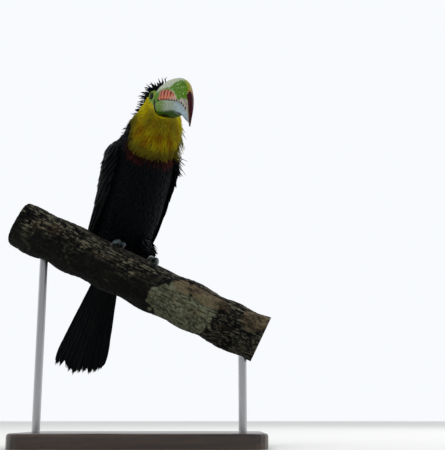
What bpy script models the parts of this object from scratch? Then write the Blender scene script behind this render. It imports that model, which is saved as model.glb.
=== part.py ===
"""Keel-billed toucan at life size, still, gripping a short cut branch on a plain display stand.

Metres, +Z up. The origin is on the stand's flat underside, below the branch. The bird faces -Y, turned
towards +X, and its right side is towards -X.
"""

import math

import bpy
import bmesh
import numpy as np
from mathutils import Vector

# ---- driving dimensions ---------------------------------------------------------------------------

GAP = 0.0003
MM = 0.001

BASE_SIZE = (0.300, 0.190, 0.018)
BASE_CENTRE_Y = 0.020
BASE_CORNER_RADIUS = 0.022
BASE_EDGE_RADIUS = 0.003
ROD_RADIUS = 0.005
ROD_SEAT_DEPTH = 0.010
ROD_PLACES = {"left": -0.128, "right": 0.122}

PERCH_AXIS_POINT = Vector((-0.013, 0.0, 0.205))
PERCH_RADIUS = 0.0292
PERCH_SLOPE = math.radians(25.8)
PERCH_REACH = (-0.163, 0.175)
PERCH_BARK_HEIGHT = 0.0022
GRIP_HALF_LENGTH = 0.070  # the bark is smooth and round this far to each side of the feet's middle
PERCH_SEED = 7

BODY_YAW = math.radians(27)
BODY_PITCH = math.radians(60)
BODY_ROLL = math.radians(4)
BODY_STANCE = (-0.008, 0.120)  # ahead of the grip and above the perch axis, before the roll
GRIP_POINT = Vector((-0.024, 0.017, 0.205))

HEAD_YAW = math.radians(19.2)
HEAD_PITCH = math.radians(-18.2)
HEAD_ROLL = math.radians(-4.5)
BILL_BASE_POINT = Vector((0.0266, -0.055, 0.4165))

BILL_LENGTH = 0.126
LOWER_BILL_REACH = 0.945
MOUTH_GAP = 0.0004
EYE_RADIUS = 0.0064
EYE_PLACE = (-0.0140, 0.0116, 0.0080)  # forward of the bill base, out to the side, above the gape

TAIL_LENGTH = 0.166
TAIL_ROOT = (-0.100, 0.003, 0.004)  # along the spine, towards the belly, towards the bird's right
TAIL_TIP = (-0.262, 0.012, 0.013)
TAIL_FEATHERS = 10
TAIL_HALF_WIDTHS = ((0, 13), (0.25, 19.5), (0.6, 29.0), (0.85, 35.0), (1.0, 35.5))  # share of length, mm

TARSUS_RADIUS = 0.0030
TOE_RADIUS = 0.0029
SHANK_SHARE = 0.26
CLAW_GAP = 0.0009
THIGH_GAP = 0.0016
FOOT_PLACES = {"right": -0.037, "left": 0.008}  # along the perch from its axis point
FOOT_BACK_TURN = {"right": math.radians(-26), "left": math.radians(-26)}

# Trunk sections: place along the spine, half width, depth to the belly, depth to the back (mm).
TRUNK_SECTIONS = (
    (-136, 11, 5, 5),
    (-118, 16, 9, 9),
    (-100, 22, 15, 15),
    (-84, 31, 25, 22),
    (-64, 38, 36.5, 30),
    (-36, 41, 45, 36),
    (0, 42.5, 47, 40),
    (32, 43, 46, 40),
    (54, 41, 43, 38.5),
    (70, 35, 38, 33),
)
# The rump's shift towards the belly and towards the bird's right, following the tail: place, shift (mm).
RUMP_DROP = ((-136, 7), (-100, 2), (-60, 0), (70, 0))
RUMP_SWING = ((-136, 8), (-100, 4.5), (-60, 0), (70, 0))
# Wing sections: place along the spine, half width and back depth inside the wing, its thickness (mm),
# and the angles from the belly of its leading and upper edges (degrees).
WING_SECTIONS = (
    (-118, 26, 20, 1.6, 132, 150),
    (-105, 33, 26, 2.2, 108, 166),
    (-86, 40, 31, 2.8, 92, 176),
    (-62, 43.5, 36, 3.2, 84, 178.4),
    (-30, 44.8, 40, 3.8, 78, 178.4),
    (0, 45.2, 42, 4.4, 73, 172),
    (30, 45.6, 42, 5.2, 69, 156),
    (50, 43.6, 41.5, 4.8, 70, 138),
    (61, 39.8, 38.5, 2.4, 80, 116),
)
# Neck sections: share of the way from breast to skull, half width, depth to the throat, to the nape (mm).
NECK_SECTIONS = (
    (0.00, 36, 40, 33),
    (0.22, 35.5, 39, 31),
    (0.50, 32, 35, 28.5),
    (0.78, 26.5, 28, 26),
    (1.00, 21, 21, 22.5),
)
# Head sections: place ahead of the bill base, half width, height above the gape, depth below it (mm).
HEAD_SECTIONS = (
    (-54, 8, 10, 6),
    (-50, 14, 16.5, 14.5),
    (-42, 19, 22.5, 21),
    (-31, 19.6, 25.8, 23.5),
    (-20, 18.0, 27.0, 22.3),
    (-10, 16.8, 26.8, 20.0),
    (-3, 16.5, 26.0, 18.0),
    (0, 16.4, 25.6, 16.8),
)
# Bill profiles as share of the length, then millimetres.
BILL_WIDTH = ((0.0, 15.8), (0.2, 15.4), (0.45, 12.9), (0.7, 9.0), (0.88, 5.0), (1.0, 0.7))
CULMEN = ((0.0, 25.0), (0.12, 28.6), (0.3, 30.4), (0.5, 28.8), (0.7, 20.4), (0.85, 5.4), (0.95, -12.8), (1.0, -27.0))
TOMIUM = ((0.0, 0.0), (0.25, 2.0), (0.5, 1.2), (0.7, -0.8), (0.85, -7.2), (0.94, -15.4), (1.0, -28.4))
KEEL = ((0.0, -15.8), (0.15, -16.4), (0.4, -15.9), (0.58, -14.0), (0.7, -14.8), (0.84, -20.4), (0.92, -23.2), (1.0, -27.0))


# ---- shared geometry ------------------------------------------------------------------------------


def along(table, place, column):
    """Smooth value of one column of a table at a place in its first column (cubic Hermite)."""
    rows = np.array(table, float)
    x, y = rows[:, 0], rows[:, column]
    slope = np.gradient(y, x)
    i = int(np.clip(np.searchsorted(x, place) - 1, 0, len(x) - 2))
    h = x[i + 1] - x[i]
    t = min(max((place - x[i]) / h, 0.0), 1.0)
    return (
        (1 + 2 * t) * (1 - t) ** 2 * y[i]
        + t * (1 - t) ** 2 * h * slope[i]
        + t * t * (3 - 2 * t) * y[i + 1]
        + t * t * (t - 1) * h * slope[i + 1]
    )


def axes_of(yaw, pitch, roll):
    """Forward, right and up directions of a frame turned from -Y towards +X, then raised, then rolled."""
    forward = Vector((math.sin(yaw) * math.cos(pitch), -math.cos(yaw) * math.cos(pitch), math.sin(pitch)))
    level_up = Vector((-math.sin(yaw) * math.sin(pitch), math.cos(yaw) * math.sin(pitch), math.cos(pitch)))
    level_right = forward.cross(level_up)
    up = level_up * math.cos(roll) + level_right * math.sin(roll)
    right = level_right * math.cos(roll) - level_up * math.sin(roll)
    return forward, right, up


def body_axes():
    """Spine (tail to head), right and belly directions, leaning sideways by the roll."""
    ahead = Vector((math.sin(BODY_YAW), -math.cos(BODY_YAW), 0))
    right = Vector((-math.cos(BODY_YAW), -math.sin(BODY_YAW), 0))
    up = Vector((0, 0, 1)) * math.cos(BODY_ROLL) - right * math.sin(BODY_ROLL)
    right = right * math.cos(BODY_ROLL) + Vector((0, 0, 1)) * math.sin(BODY_ROLL)
    spine = ahead * math.cos(BODY_PITCH) + up * math.sin(BODY_PITCH)
    belly = ahead * math.sin(BODY_PITCH) - up * math.cos(BODY_PITCH)
    centre = GRIP_POINT + ahead * BODY_STANCE[0] + up * BODY_STANCE[1]
    return centre, spine, belly, right


BODY_CENTRE, SPINE, BELLY, RIGHT = body_axes()
HEAD_FORWARD, HEAD_RIGHT, HEAD_UP = axes_of(HEAD_YAW, HEAD_PITCH, HEAD_ROLL)
PERCH_ALONG = Vector((math.cos(PERCH_SLOPE), 0, -math.sin(PERCH_SLOPE)))
PERCH_TOP = Vector((math.sin(PERCH_SLOPE), 0, math.cos(PERCH_SLOPE)))


def body_point(spine, belly, right):
    """World place of a point given along the spine, towards the belly and towards the bird's right."""
    return BODY_CENTRE + SPINE * spine + BELLY * belly + RIGHT * right


def head_point(forward, right, up):
    """World place of a point given from the middle of the gape at the bill's base."""
    return BILL_BASE_POINT + HEAD_FORWARD * forward + HEAD_RIGHT * right + HEAD_UP * up


def material(name, colour, roughness, metallic=0.0):
    """A Principled material of one colour."""
    made = bpy.data.materials.new(name)
    made.use_nodes = True
    shader = made.node_tree.nodes["Principled BSDF"]
    shader.inputs["Base Color"].default_value = (*colour, 1)
    shader.inputs["Roughness"].default_value = roughness
    shader.inputs["Metallic"].default_value = metallic
    return made


def new_object(name, mesh, surface, helper=False):
    """Links a mesh into the model's collection, or into the cutters' one as a hidden helper."""
    made = bpy.data.objects.new(name, mesh)
    bpy.data.collections["cutters" if helper else "keel_billed_toucan"].objects.link(made)
    if helper:
        made.hide_render = True
        made.display_type = "WIRE"
    else:
        mesh.materials.append(surface)
    mesh.shade_smooth()
    return made


def loft(name, rings, surface, helper=False):
    """Closed surface through equal rings of points, each end closed by a fan round its middle."""
    model = bmesh.new()
    rows = [[model.verts.new(point) for point in ring] for ring in rings]
    count = len(rows[0])
    for lower, upper in zip(rows, rows[1:]):
        for k in range(count):
            n = (k + 1) % count
            model.faces.new((lower[k], lower[n], upper[n], upper[k]))
    for row in (rows[0], rows[-1]):
        middle = sum((v.co for v in row), Vector()) / count
        hub = model.verts.new(middle)
        for k in range(count):
            model.faces.new((row[k], row[(k + 1) % count], hub))
    bmesh.ops.recalc_face_normals(model, faces=model.faces)
    mesh = bpy.data.meshes.new(name)
    model.to_mesh(mesh)
    model.free()
    return new_object(name, mesh, surface, helper)


def oval(half_width, front, back, sides, grow=0.0):
    """(sideways, frontways) points round an oval whose front and back depths differ."""
    points = []
    for k in range(sides):
        turn = 2 * math.pi * k / sides
        side, face = math.sin(turn), math.cos(turn)
        points.append(((half_width + grow) * side, ((front if face > 0 else back) + grow) * face))
    return points


def tube(name, points, radii, surface, sides=8, helper=False):
    """Closed tube through a list of points, with a radius at each and its rings square to the path."""
    places = [Vector(p) for p in points]
    rings = []
    across = (places[1] - places[0]).orthogonal().normalized()
    for i, (place, radius) in enumerate(zip(places, radii)):
        heading = (places[min(i + 1, len(places) - 1)] - places[max(i - 1, 0)]).normalized()
        across = (across - heading * across.dot(heading)).normalized()
        other = heading.cross(across)
        rings.append(
            [
                place + (across * math.cos(a) + other * math.sin(a)) * float(radius)
                for a in (2 * math.pi * k / sides for k in range(sides))
            ]
        )
    return loft(name, rings, surface, helper)


def boolean(target, cutter, operation):
    """Cuts, or joins, one object with another by an exact Boolean modifier."""
    step = target.modifiers.new(f"{operation.lower()}_{cutter.name}", "BOOLEAN")
    step.operation = operation
    step.solver = "EXACT"
    step.object = cutter
    return step


# ---- stand and perch ------------------------------------------------------------------------------


def make_base(surface):
    """Flat rounded plate with softened edges and a blind hole for each rod."""
    width, depth, height = BASE_SIZE
    model = bmesh.new()
    bmesh.ops.create_cube(model, size=1)
    bmesh.ops.scale(model, vec=(width, depth, height), verts=model.verts)
    bmesh.ops.translate(model, vec=(0, BASE_CENTRE_Y, height / 2), verts=model.verts)
    upright = [e for e in model.edges if abs(e.verts[0].co.z - e.verts[1].co.z) > height / 2]
    bmesh.ops.bevel(model, geom=upright, offset=BASE_CORNER_RADIUS, segments=5, affect="EDGES", profile=0.5)
    rim = [e for e in model.edges if all(v.co.z > height * 0.99 for v in e.verts)]
    bmesh.ops.bevel(model, geom=rim, offset=BASE_EDGE_RADIUS, segments=2, affect="EDGES", profile=0.5)
    mesh = bpy.data.meshes.new("stand_base")
    model.to_mesh(mesh)
    model.free()
    base = new_object("stand_base", mesh, surface)
    mesh.set_sharp_from_angle(angle=math.radians(40))
    for side, x in ROD_PLACES.items():
        hole_bottom = height - ROD_SEAT_DEPTH
        hole = cylinder(f"base_hole_{side}", x, ROD_RADIUS + GAP, hole_bottom, height + 0.01, None, helper=True)
        boolean(base, hole, "DIFFERENCE")
    return base


def cylinder(name, x, radius, low, high, surface, helper=False, sides=20):
    """Upright cylinder at (x, 0) between two heights."""
    model = bmesh.new()
    bmesh.ops.create_cone(model, cap_ends=True, segments=sides, radius1=radius, radius2=radius, depth=high - low)
    bmesh.ops.translate(model, vec=(x, 0, (low + high) / 2), verts=model.verts)
    mesh = bpy.data.meshes.new(name)
    model.to_mesh(mesh)
    model.free()
    made = new_object(name, mesh, surface, helper)
    mesh.set_sharp_from_angle(angle=math.radians(40))
    return made


def perch_axis_height(x):
    """Height of the branch's axis above the floor at a sideways place."""
    return PERCH_AXIS_POINT.z - (x - PERCH_AXIS_POINT.x) * math.tan(PERCH_SLOPE)


def make_rods(surface):
    """Upright steel rods from the base up into the underside of the branch."""
    for side, x in ROD_PLACES.items():
        low = BASE_SIZE[2] - ROD_SEAT_DEPTH + GAP
        high = perch_axis_height(x) - 0.008
        cylinder(f"stand_rod_{side}", x, ROD_RADIUS, low, high, surface)


def bark_height(place, turn, phases):
    """Height of the bark's long lumps and knots at a place along the branch and an angle round it."""
    lumps = sum(
        math.sin(wave * place + turns * turn + phase) / (1 + index)
        for index, (wave, turns, phase) in enumerate(phases)
    )
    knot = math.exp(-(((place - 0.071) / 0.013) ** 2) - ((turn - 2.2) / 0.55) ** 2)
    stub = math.exp(-(((place + 0.118) / 0.011) ** 2) - ((turn - 0.9) / 0.45) ** 2)
    return PERCH_BARK_HEIGHT * (0.55 * lumps + 1.7 * knot + 1.5 * stub)


def make_perch(surface):
    """Cut length of branch with uneven bark, smooth and round where the feet grip, and sawn square ends."""
    rng = np.random.default_rng(PERCH_SEED)
    phases = [(rng.uniform(40, 160), rng.integers(1, 6), rng.uniform(0, 2 * math.pi)) for _ in range(5)]
    rings = []
    sides = 22
    for place in np.linspace(PERCH_REACH[0], PERCH_REACH[1], 28):
        away = min(abs(place - 0.5 * sum(FOOT_PLACES.values())) / GRIP_HALF_LENGTH, 1.0)
        bend = 0.0016 * math.sin(22 * place)
        ring = []
        for k in range(sides):
            turn = 2 * math.pi * (k - sides // 2) / sides
            gripped = (1 - away**6) * max(0.0, math.cos(0.8 * turn)) ** 0.25
            rough = bark_height(place, turn, phases) * (1 - gripped)
            radius = PERCH_RADIUS + rough - 0.0004 * gripped
            side = Vector((0, -1, 0)) * math.sin(turn) + PERCH_TOP * math.cos(turn)
            ring.append(PERCH_AXIS_POINT + PERCH_ALONG * place + Vector((0, bend * away, 0)) + side * radius)
        rings.append(ring)
    perch = loft("perch", rings, surface)
    perch.data.set_sharp_from_angle(angle=math.radians(50))
    for side, x in ROD_PLACES.items():
        top = perch_axis_height(x) - 0.008 + GAP
        hole = cylinder(f"perch_hole_{side}", x, ROD_RADIUS + GAP, 0.05, top, None, helper=True)
        boolean(perch, hole, "DIFFERENCE")
    return perch


# ---- trunk, wings and tail ------------------------------------------------------------------------


def trunk_rings(grow=0.0):
    """Oval sections of the trunk from the tail coverts up to the breast, grown outwards by a clearance."""
    rings = []
    for place in np.linspace(TRUNK_SECTIONS[0][0], TRUNK_SECTIONS[-1][0], 16):
        half, belly, back = (along(TRUNK_SECTIONS, place, column) * MM for column in (1, 2, 3))
        drop = along(RUMP_DROP, place, 1) * MM
        swing = along(RUMP_SWING, place, 1) * MM
        rings.append(
            [
                body_point(place * MM, drop + front, swing + side)
                for side, front in oval(half, belly, back, 24, grow)
            ]
        )
    return rings


def make_trunk(surface):
    """Plump feathered body from the tail coverts to the breast, and the same grown shape for cutting."""
    loft("trunk_cutter", trunk_rings(GAP * 1.5), None, helper=True)
    return loft("trunk", trunk_rings(), surface)


def wing_point(place, angle, side, lift):
    """Point on the wing's inner envelope, lifted outwards. Angles run from the belly (0) to the back."""
    half, back = (along(WING_SECTIONS, place, column) * MM for column in (1, 2))
    belly = along(TRUNK_SECTIONS, place, 2) * MM
    across = math.sin(angle)
    face = math.cos(angle)
    swing = along(RUMP_SWING, place, 1) * MM
    depth = (belly if face > 0 else back) + lift
    return body_point(place * MM, depth * face, swing + side * (half + lift) * across)


def make_wing(name, side, surface):
    """Folded wing: a curved blade lying on the flank, its wrist at the shoulder and its tips over the rump."""
    rings = []
    for place in np.linspace(WING_SECTIONS[0][0], WING_SECTIONS[-1][0], 17):
        thickness, lead, top = (along(WING_SECTIONS, place, column) for column in (3, 4, 5))
        shares = np.linspace(0, 1, 9)
        angles = [math.radians(lead + (top - lead) * share) for share in shares]
        fat = [
            max(0.0007, thickness * MM * (math.sin(math.pi * min(share * 1.6 + 0.06, 0.5)) * (1 - 0.62 * share)))
            for share in shares
        ]
        outer = [wing_point(place, a, side, f + 0.0006) for a, f in zip(angles, fat)]
        inner = [wing_point(place, a, side, 0.0006) for a in reversed(angles)]
        rings.append(outer + inner)
    return loft(name, rings, surface)


def tail_reach(share):
    """Length of the tail at a share of the fan from its left edge (-1) to its right one (1).

    Each feather ends in a blunt point, the outer ones are shorter, and a nick parts off the outermost right one.
    """
    feather = (share + 1) / 2 * TAIL_FEATHERS
    within = feather - math.floor(min(feather, TAIL_FEATHERS - 1e-6))
    point = 0.0042 * (1 - math.sin(math.pi * min(max(within, 0.0), 1.0)) ** 0.7)
    graded = 0.015 * abs(share) ** 2.4
    nick = 0.0085 * math.exp(-(((share - 0.60) / 0.10) ** 2))
    ragged = 0.0020 * math.sin(8.3 * share + 0.7) + 0.0012 * math.sin(21 * share)
    return TAIL_LENGTH - point - graded - nick + ragged


def make_tail(surface):
    """Fan of tail feathers as one blade: narrow at the root, widening, arched, and ragged at the tips."""
    root, tip = body_point(*TAIL_ROOT), body_point(*TAIL_TIP)
    heading = (tip - root).normalized()
    across = (RIGHT - heading * RIGHT.dot(heading)).normalized()
    normal = across.cross(heading)
    if normal.dot(BELLY) < 0:
        normal = -normal
    rings = []
    for share in np.linspace(1, -1, 4 * TAIL_FEATHERS + 1):
        reach = tail_reach(share)
        front, back = [], []
        for step in np.linspace(0, 1, 6):
            distance = reach * step
            spread = along(TAIL_HALF_WIDTHS, step, 1) * MM
            arch = 0.006 * (1 - share * share) * (0.35 + 0.65 * step)
            thick = (0.0042 - 0.0030 * step) * (1 - 0.55 * share * share) + 0.0003
            place = root + heading * distance + across * share * spread - normal * (arch + 0.004 * step)
            front.append(place + normal * thick / 2)
            back.append(place - normal * thick / 2)
        rings.append(front + back[::-1])
    tail = loft("tail", rings, surface)
    boolean(tail, bpy.data.objects["trunk_cutter"], "DIFFERENCE")
    return tail


# ---- neck and head --------------------------------------------------------------------------------


def head_rings(grow=0.0):
    """Egg-shaped sections of the head from the back of the skull to the bill's base."""
    rings = []
    for place in np.linspace(HEAD_SECTIONS[0][0], HEAD_SECTIONS[-1][0], 14):
        half, above, below = (along(HEAD_SECTIONS, place, column) * MM for column in (1, 2, 3))
        shift = place * MM + (grow if place == HEAD_SECTIONS[-1][0] else 0) - (grow if place < -53 else 0)
        rings.append(
            [head_point(shift, side, height) for side, height in oval(half, above, below, 22, grow)]
        )
    return rings


def neck_path(share):
    """Middle of the neck, bending from the breast's line up into the skull (quadratic Bezier)."""
    start = body_point(0.070 + GAP, 0.0, -0.003)
    bend = body_point(0.098, -0.004, -0.011)
    end = head_point(-0.030, 0.0, 0.002)
    return start * (1 - share) ** 2 + bend * 2 * share * (1 - share) + end * share**2


def neck_rings(grow=0.0):
    """Oval sections of the neck, wide over the breast and narrowing into the head."""
    rings = []
    for share in np.linspace(0, 1, 10):
        step = 0.01
        heading = SPINE if share == 0 else (neck_path(share) - neck_path(share - step)).normalized()
        right = (RIGHT * (1 - share) + HEAD_RIGHT * share).normalized()
        right = (right - heading * right.dot(heading)).normalized()
        throat = right.cross(heading)
        if throat.dot(BELLY) < 0:
            throat = -throat
        half, front, back = (along(NECK_SECTIONS, share, column) * MM for column in (1, 2, 3))
        middle = neck_path(share)
        rings.append(
            [middle + right * side + throat * face for side, face in oval(half, front, back, 22, grow)]
        )
    return rings


def make_neck(surface):
    """Thick feathered neck and throat, cut clear of the head."""
    neck = loft("neck", neck_rings(), surface)
    boolean(neck, loft("head_cutter", head_rings(GAP), None, helper=True), "DIFFERENCE")
    return neck


def eye_centre(side):
    """Middle of the eyeball on one side of the head."""
    return head_point(EYE_PLACE[0], side * EYE_PLACE[1], EYE_PLACE[2])


def sphere(name, centre, radius, surface, helper=False):
    """Ball, coarser when it only cuts a socket."""
    model = bmesh.new()
    bmesh.ops.create_uvsphere(model, u_segments=14, v_segments=7 if helper else 8, radius=radius)
    bmesh.ops.translate(model, vec=centre, verts=model.verts)
    mesh = bpy.data.meshes.new(name)
    model.to_mesh(mesh)
    model.free()
    return new_object(name, mesh, surface, helper)


def make_head(surface):
    """Feathered head with a socket for each eyeball."""
    head = loft("head", head_rings(), surface)
    for name, side in (("right", 1), ("left", -1)):
        socket = sphere(f"socket_{name}", eye_centre(side), EYE_RADIUS + 0.0006, None, helper=True)
        boolean(head, socket, "DIFFERENCE")
    return head


def make_eyes(surface):
    """Eyeballs, set into the sides of the head."""
    for name, side in (("right", 1), ("left", -1)):
        sphere(f"eye_{name}", eye_centre(side), EYE_RADIUS, surface)


# ---- bill -----------------------------------------------------------------------------------------


def make_upper_bill(surface):
    """Upper mandible: a ridged, arched vault that narrows and hooks down at its tip."""
    rings = []
    shares = 1 - (1 - np.linspace(0, 1, 18)) ** 1.25
    for share in shares:
        half, top, edge = (along(table, share, 1) * MM for table in (BILL_WIDTH, CULMEN, TOMIUM))
        top = max(top, edge + 0.0010)
        roof = []
        for k in range(15):
            turn = math.pi * k / 14
            side = math.copysign(abs(math.cos(turn)) ** 0.82, math.cos(turn))
            ridge = 0.0007 * math.exp(-((math.cos(turn) / 0.16) ** 2)) * (1 - share)
            height = edge + (top - edge) * math.sin(turn) ** 0.88 + ridge
            roof.append(head_point(GAP * 1.5 + share * BILL_LENGTH, half * side, height))
        floor = []
        for k in range(1, 4):
            sweep = -1 + 2 * k / 4
            floor.append(head_point(GAP * 1.5 + share * BILL_LENGTH, half * sweep, edge + 0.0002 * (1 - sweep**2)))
        rings.append(roof + floor)
    return loft("bill_upper", rings, surface)


def make_lower_bill(surface):
    """Lower mandible: a shallower trough under the upper one, ending inside its hook."""
    rings = []
    shares = LOWER_BILL_REACH * (1 - (1 - np.linspace(0, 1, 16)) ** 1.2)
    for share in shares:
        taper = 1 - (share / LOWER_BILL_REACH) ** 5 * 0.86
        half = along(BILL_WIDTH, share, 1) * MM * 0.965 * taper
        edge = along(TOMIUM, share, 1) * MM - MOUTH_GAP
        bottom = min(along(KEEL, share, 1) * MM, edge - 0.0012)
        trough = []
        for k in range(13):
            turn = math.pi * k / 12
            side = math.copysign(abs(math.cos(turn)) ** 0.80, math.cos(turn))
            height = edge + (bottom - edge) * math.sin(turn) ** 0.92
            trough.append(head_point(GAP * 1.5 + share * BILL_LENGTH, -half * side, height))
        lid = []
        for k in range(1, 4):
            sweep = 1 - 2 * k / 4
            lid.append(head_point(GAP * 1.5 + share * BILL_LENGTH, half * sweep, edge - 0.0002))
        rings.append(trough + lid)
    return loft("bill_lower", rings, surface)


# ---- legs and feet --------------------------------------------------------------------------------

# Toes: length over the bark, drift along the branch away from the foot's middle, and direction over
# the branch (1 ahead, -1 behind).
TOES = {
    "inner_front": (0.0235, 0.0045, 1),
    "outer_front": (0.0330, -0.0075, 1),
    "outer_back": (0.0270, -0.0120, -1),
    "inner_back": (0.0175, 0.0050, -1),
}

TOE_SWELL = (1.12, 1.0, 1.06, 0.92, 1.0, 0.76)  # the toe's joints and pads, as shares of its radius


def perch_point(place, turn, height):
    """Point over the branch: along it, round it from its top towards -Y, and above its bark."""
    side = Vector((0, -1, 0)) * math.sin(turn) + PERCH_TOP * math.cos(turn)
    return PERCH_AXIS_POINT + PERCH_ALONG * place + side * (PERCH_RADIUS + height)


def toe_path(side_name, side, toe, root):
    """Points along a toe that lies over the bark, from its root inside the knuckle to the claw's root."""
    length, drift, way = TOES[toe]
    points = []
    for step in np.linspace(root, 1, len(TOE_SWELL)):
        turn = FOOT_BACK_TURN[side_name] + way * step * length / (PERCH_RADIUS + TOE_RADIUS)
        arch = 0.0010 * math.sin(math.pi * max(step, 0)) + 0.0003
        sideways = (side * drift + way * 0.10 * length) * step
        points.append(perch_point(FOOT_PLACES[side_name] + sideways, turn, TOE_RADIUS + GAP + arch))
    return points


def shank_point(side_name, side, share):
    """Point on the shank's line from the knuckle (0) back up to the heel inside the belly feathers (1)."""
    knuckle = perch_point(FOOT_PLACES[side_name], FOOT_BACK_TURN[side_name], TOE_RADIUS + 0.0005)
    heel = body_point(-0.050, 0.024, side * 0.019)
    return knuckle + (heel - knuckle) * share


def make_foot(side_name, side, skin, horn):
    """Bare scaly foot with two toes ahead and two behind, and its shank up to the thigh feathers."""
    shank = [shank_point(side_name, side, share) for share in (0.0, 0.10, 0.20, SHANK_SHARE)]
    foot = tube(f"foot_{side_name}", shank, (0.0042, 0.0037, TARSUS_RADIUS, TARSUS_RADIUS), skin, 10)
    for number, toe in enumerate(TOES):
        path = toe_path(side_name, side, toe, -0.05 - 0.02 * number)
        piece = tube(f"toe_{side_name}_{toe}", path, [TOE_RADIUS * s for s in TOE_SWELL], None, 7, helper=True)
        boolean(foot, piece, "UNION")
        make_claw(f"claw_{side_name}_{toe}", path, horn)
    return foot


def make_claw(name, path, surface):
    """Curved horny claw on the end of a toe, its point resting near the bark."""
    heading = (path[-1] - path[-2]).normalized()
    inward = PERCH_AXIS_POINT - path[-1]
    inward = (inward - PERCH_ALONG * inward.dot(PERCH_ALONG)).normalized()
    start = path[-1] + heading * CLAW_GAP
    points, radii = [], []
    for step in np.linspace(0, 1, 5):
        lift = 0.0012 * math.sin(math.pi * step) - 0.0016 * step**2
        points.append(start + heading * 0.0085 * step - inward * lift + inward * 0.0016 * step**2)
        radii.append(0.0019 * (1 - 0.80 * step) + 0.00008)
    return tube(name, points, radii, surface, 6)


def make_thigh(side_name, side, surface):
    """Feathered thigh: a tapered bulge from the belly down to the shank."""
    upper = body_point(-0.058, 0.024, side * 0.018)
    shank_end = shank_point(side_name, side, SHANK_SHARE)
    lower = shank_end + (upper - shank_end).normalized() * THIGH_GAP
    points = [upper + (lower - upper) * share for share in (0.0, 0.3, 0.6, 0.85, 1.0)]
    thigh = tube(f"thigh_{side_name}", points, (0.0130, 0.0135, 0.0115, 0.0080, 0.0048), surface, 14)
    boolean(thigh, bpy.data.objects["trunk_cutter"], "DIFFERENCE")
    return thigh


# ---- assembly -------------------------------------------------------------------------------------


def main():
    for old in list(bpy.data.objects):
        bpy.data.objects.remove(old, do_unlink=True)
    for name in ("keel_billed_toucan", "cutters"):
        collection = bpy.data.collections.new(name)
        bpy.context.scene.collection.children.link(collection)
        collection.hide_render = name == "cutters"

    black = material("black plumage", (0.010, 0.010, 0.012), 0.55)
    yellow = material("yellow plumage", (0.62, 0.50, 0.03), 0.70)
    blue_skin = material("scaled blue skin", (0.16, 0.25, 0.30), 0.50)
    horn = material("dark horn", (0.05, 0.05, 0.06), 0.40)
    green_bill = material("green bill keratin", (0.25, 0.42, 0.05), 0.30)
    pale_bill = material("pale bill keratin", (0.35, 0.50, 0.42), 0.30)
    dark_eye = material("dark eye", (0.02, 0.015, 0.01), 0.05)
    bark = material("bark", (0.12, 0.10, 0.08), 0.90)
    lacquer = material("dark stained wood", (0.05, 0.035, 0.025), 0.45)
    steel = material("brushed steel", (0.55, 0.55, 0.56), 0.35, 1.0)

    make_base(lacquer)
    make_rods(steel)
    make_perch(bark)
    make_trunk(black)
    make_wing("wing_right", 1, black)
    make_wing("wing_left", -1, black)
    make_tail(black)
    make_neck(yellow)
    make_head(yellow)
    make_eyes(dark_eye)
    make_upper_bill(green_bill)
    make_lower_bill(pale_bill)
    for name, side in (("right", 1), ("left", -1)):
        make_foot(name, side, blue_skin, horn)
        make_thigh(name, side, black)


main()
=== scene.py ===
"""Looks of the keel-billed toucan: stand, cut branch, skin, feathers, bill, eyes and claws.

Metres, +Z up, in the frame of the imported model. The bird faces -Y, turned towards +X, and its right side is
towards -X. Each section makes one piece or group of like pieces, in the order in which they are put together.
"""

import math

import bpy
import numpy as np
from mathutils.bvhtree import BVHTree
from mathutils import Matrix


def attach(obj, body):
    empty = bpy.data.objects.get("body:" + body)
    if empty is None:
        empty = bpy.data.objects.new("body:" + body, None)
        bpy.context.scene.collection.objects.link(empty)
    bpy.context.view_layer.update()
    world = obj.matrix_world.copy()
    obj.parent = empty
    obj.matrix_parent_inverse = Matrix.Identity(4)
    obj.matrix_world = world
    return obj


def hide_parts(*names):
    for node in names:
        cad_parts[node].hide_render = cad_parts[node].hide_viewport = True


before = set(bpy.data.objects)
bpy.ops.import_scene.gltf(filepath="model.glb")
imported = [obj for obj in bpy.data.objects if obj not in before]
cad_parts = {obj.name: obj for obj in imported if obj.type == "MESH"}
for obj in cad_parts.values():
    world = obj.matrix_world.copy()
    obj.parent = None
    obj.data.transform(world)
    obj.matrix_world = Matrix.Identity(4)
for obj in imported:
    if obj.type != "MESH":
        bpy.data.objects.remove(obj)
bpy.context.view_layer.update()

MM = 0.001

# ---- the room ---------------------------------------------------------------------------------------
# A pale studio floor under a white tent of light, brightest behind the bird, with one large soft lamp above
# and in front and another behind. The camera stands low in front of the base and looks up at the bird.

CAMERA_PLACE = (0.0975, -1.05, 0.035)
CAMERA_TILT = 12.875  # degrees above level
CAMERA_LENS = 67.58  # mm on a 36 mm frame
FLOOR_RADIUS = 9.0
FLOOR_COLOUR = "#F1F1EE"
TENT_COLOUR = "#F8FAFD"
TENT_FRONT = 0.42  # brightness of the tent in front of the bird, as a share of that behind it
LAMPS = (
    # name, place, aim, size across, watts
    ("key_lamp", (-0.9, -1.0, 2.3), (0.0, 0.0, 0.30), 1.1, 13),
    ("back_lamp", (1.3, 1.2, 2.0), (0.0, 0.0, 0.30), 1.2, 17),
)


def linear(code):
    """Linear RGBA of an sRGB hex colour: each channel c becomes ((c + 0.055) / 1.055) ** 2.4."""
    channels = np.array([int(code[i : i + 2], 16) for i in (1, 3, 5)]) / 255
    low, high = channels / 12.92, ((channels + 0.055) / 1.055) ** 2.4
    return (*np.where(channels <= 0.04045, low, high).tolist(), 1.0)


def feed(node, inputs):
    """Sets a node's sockets to values, or links them to the outputs that feed them."""
    for socket, value in inputs.items():
        if isinstance(value, bpy.types.NodeSocket):
            node.id_data.links.new(value, node.inputs[socket])
        else:
            node.inputs[socket].default_value = value


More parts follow.
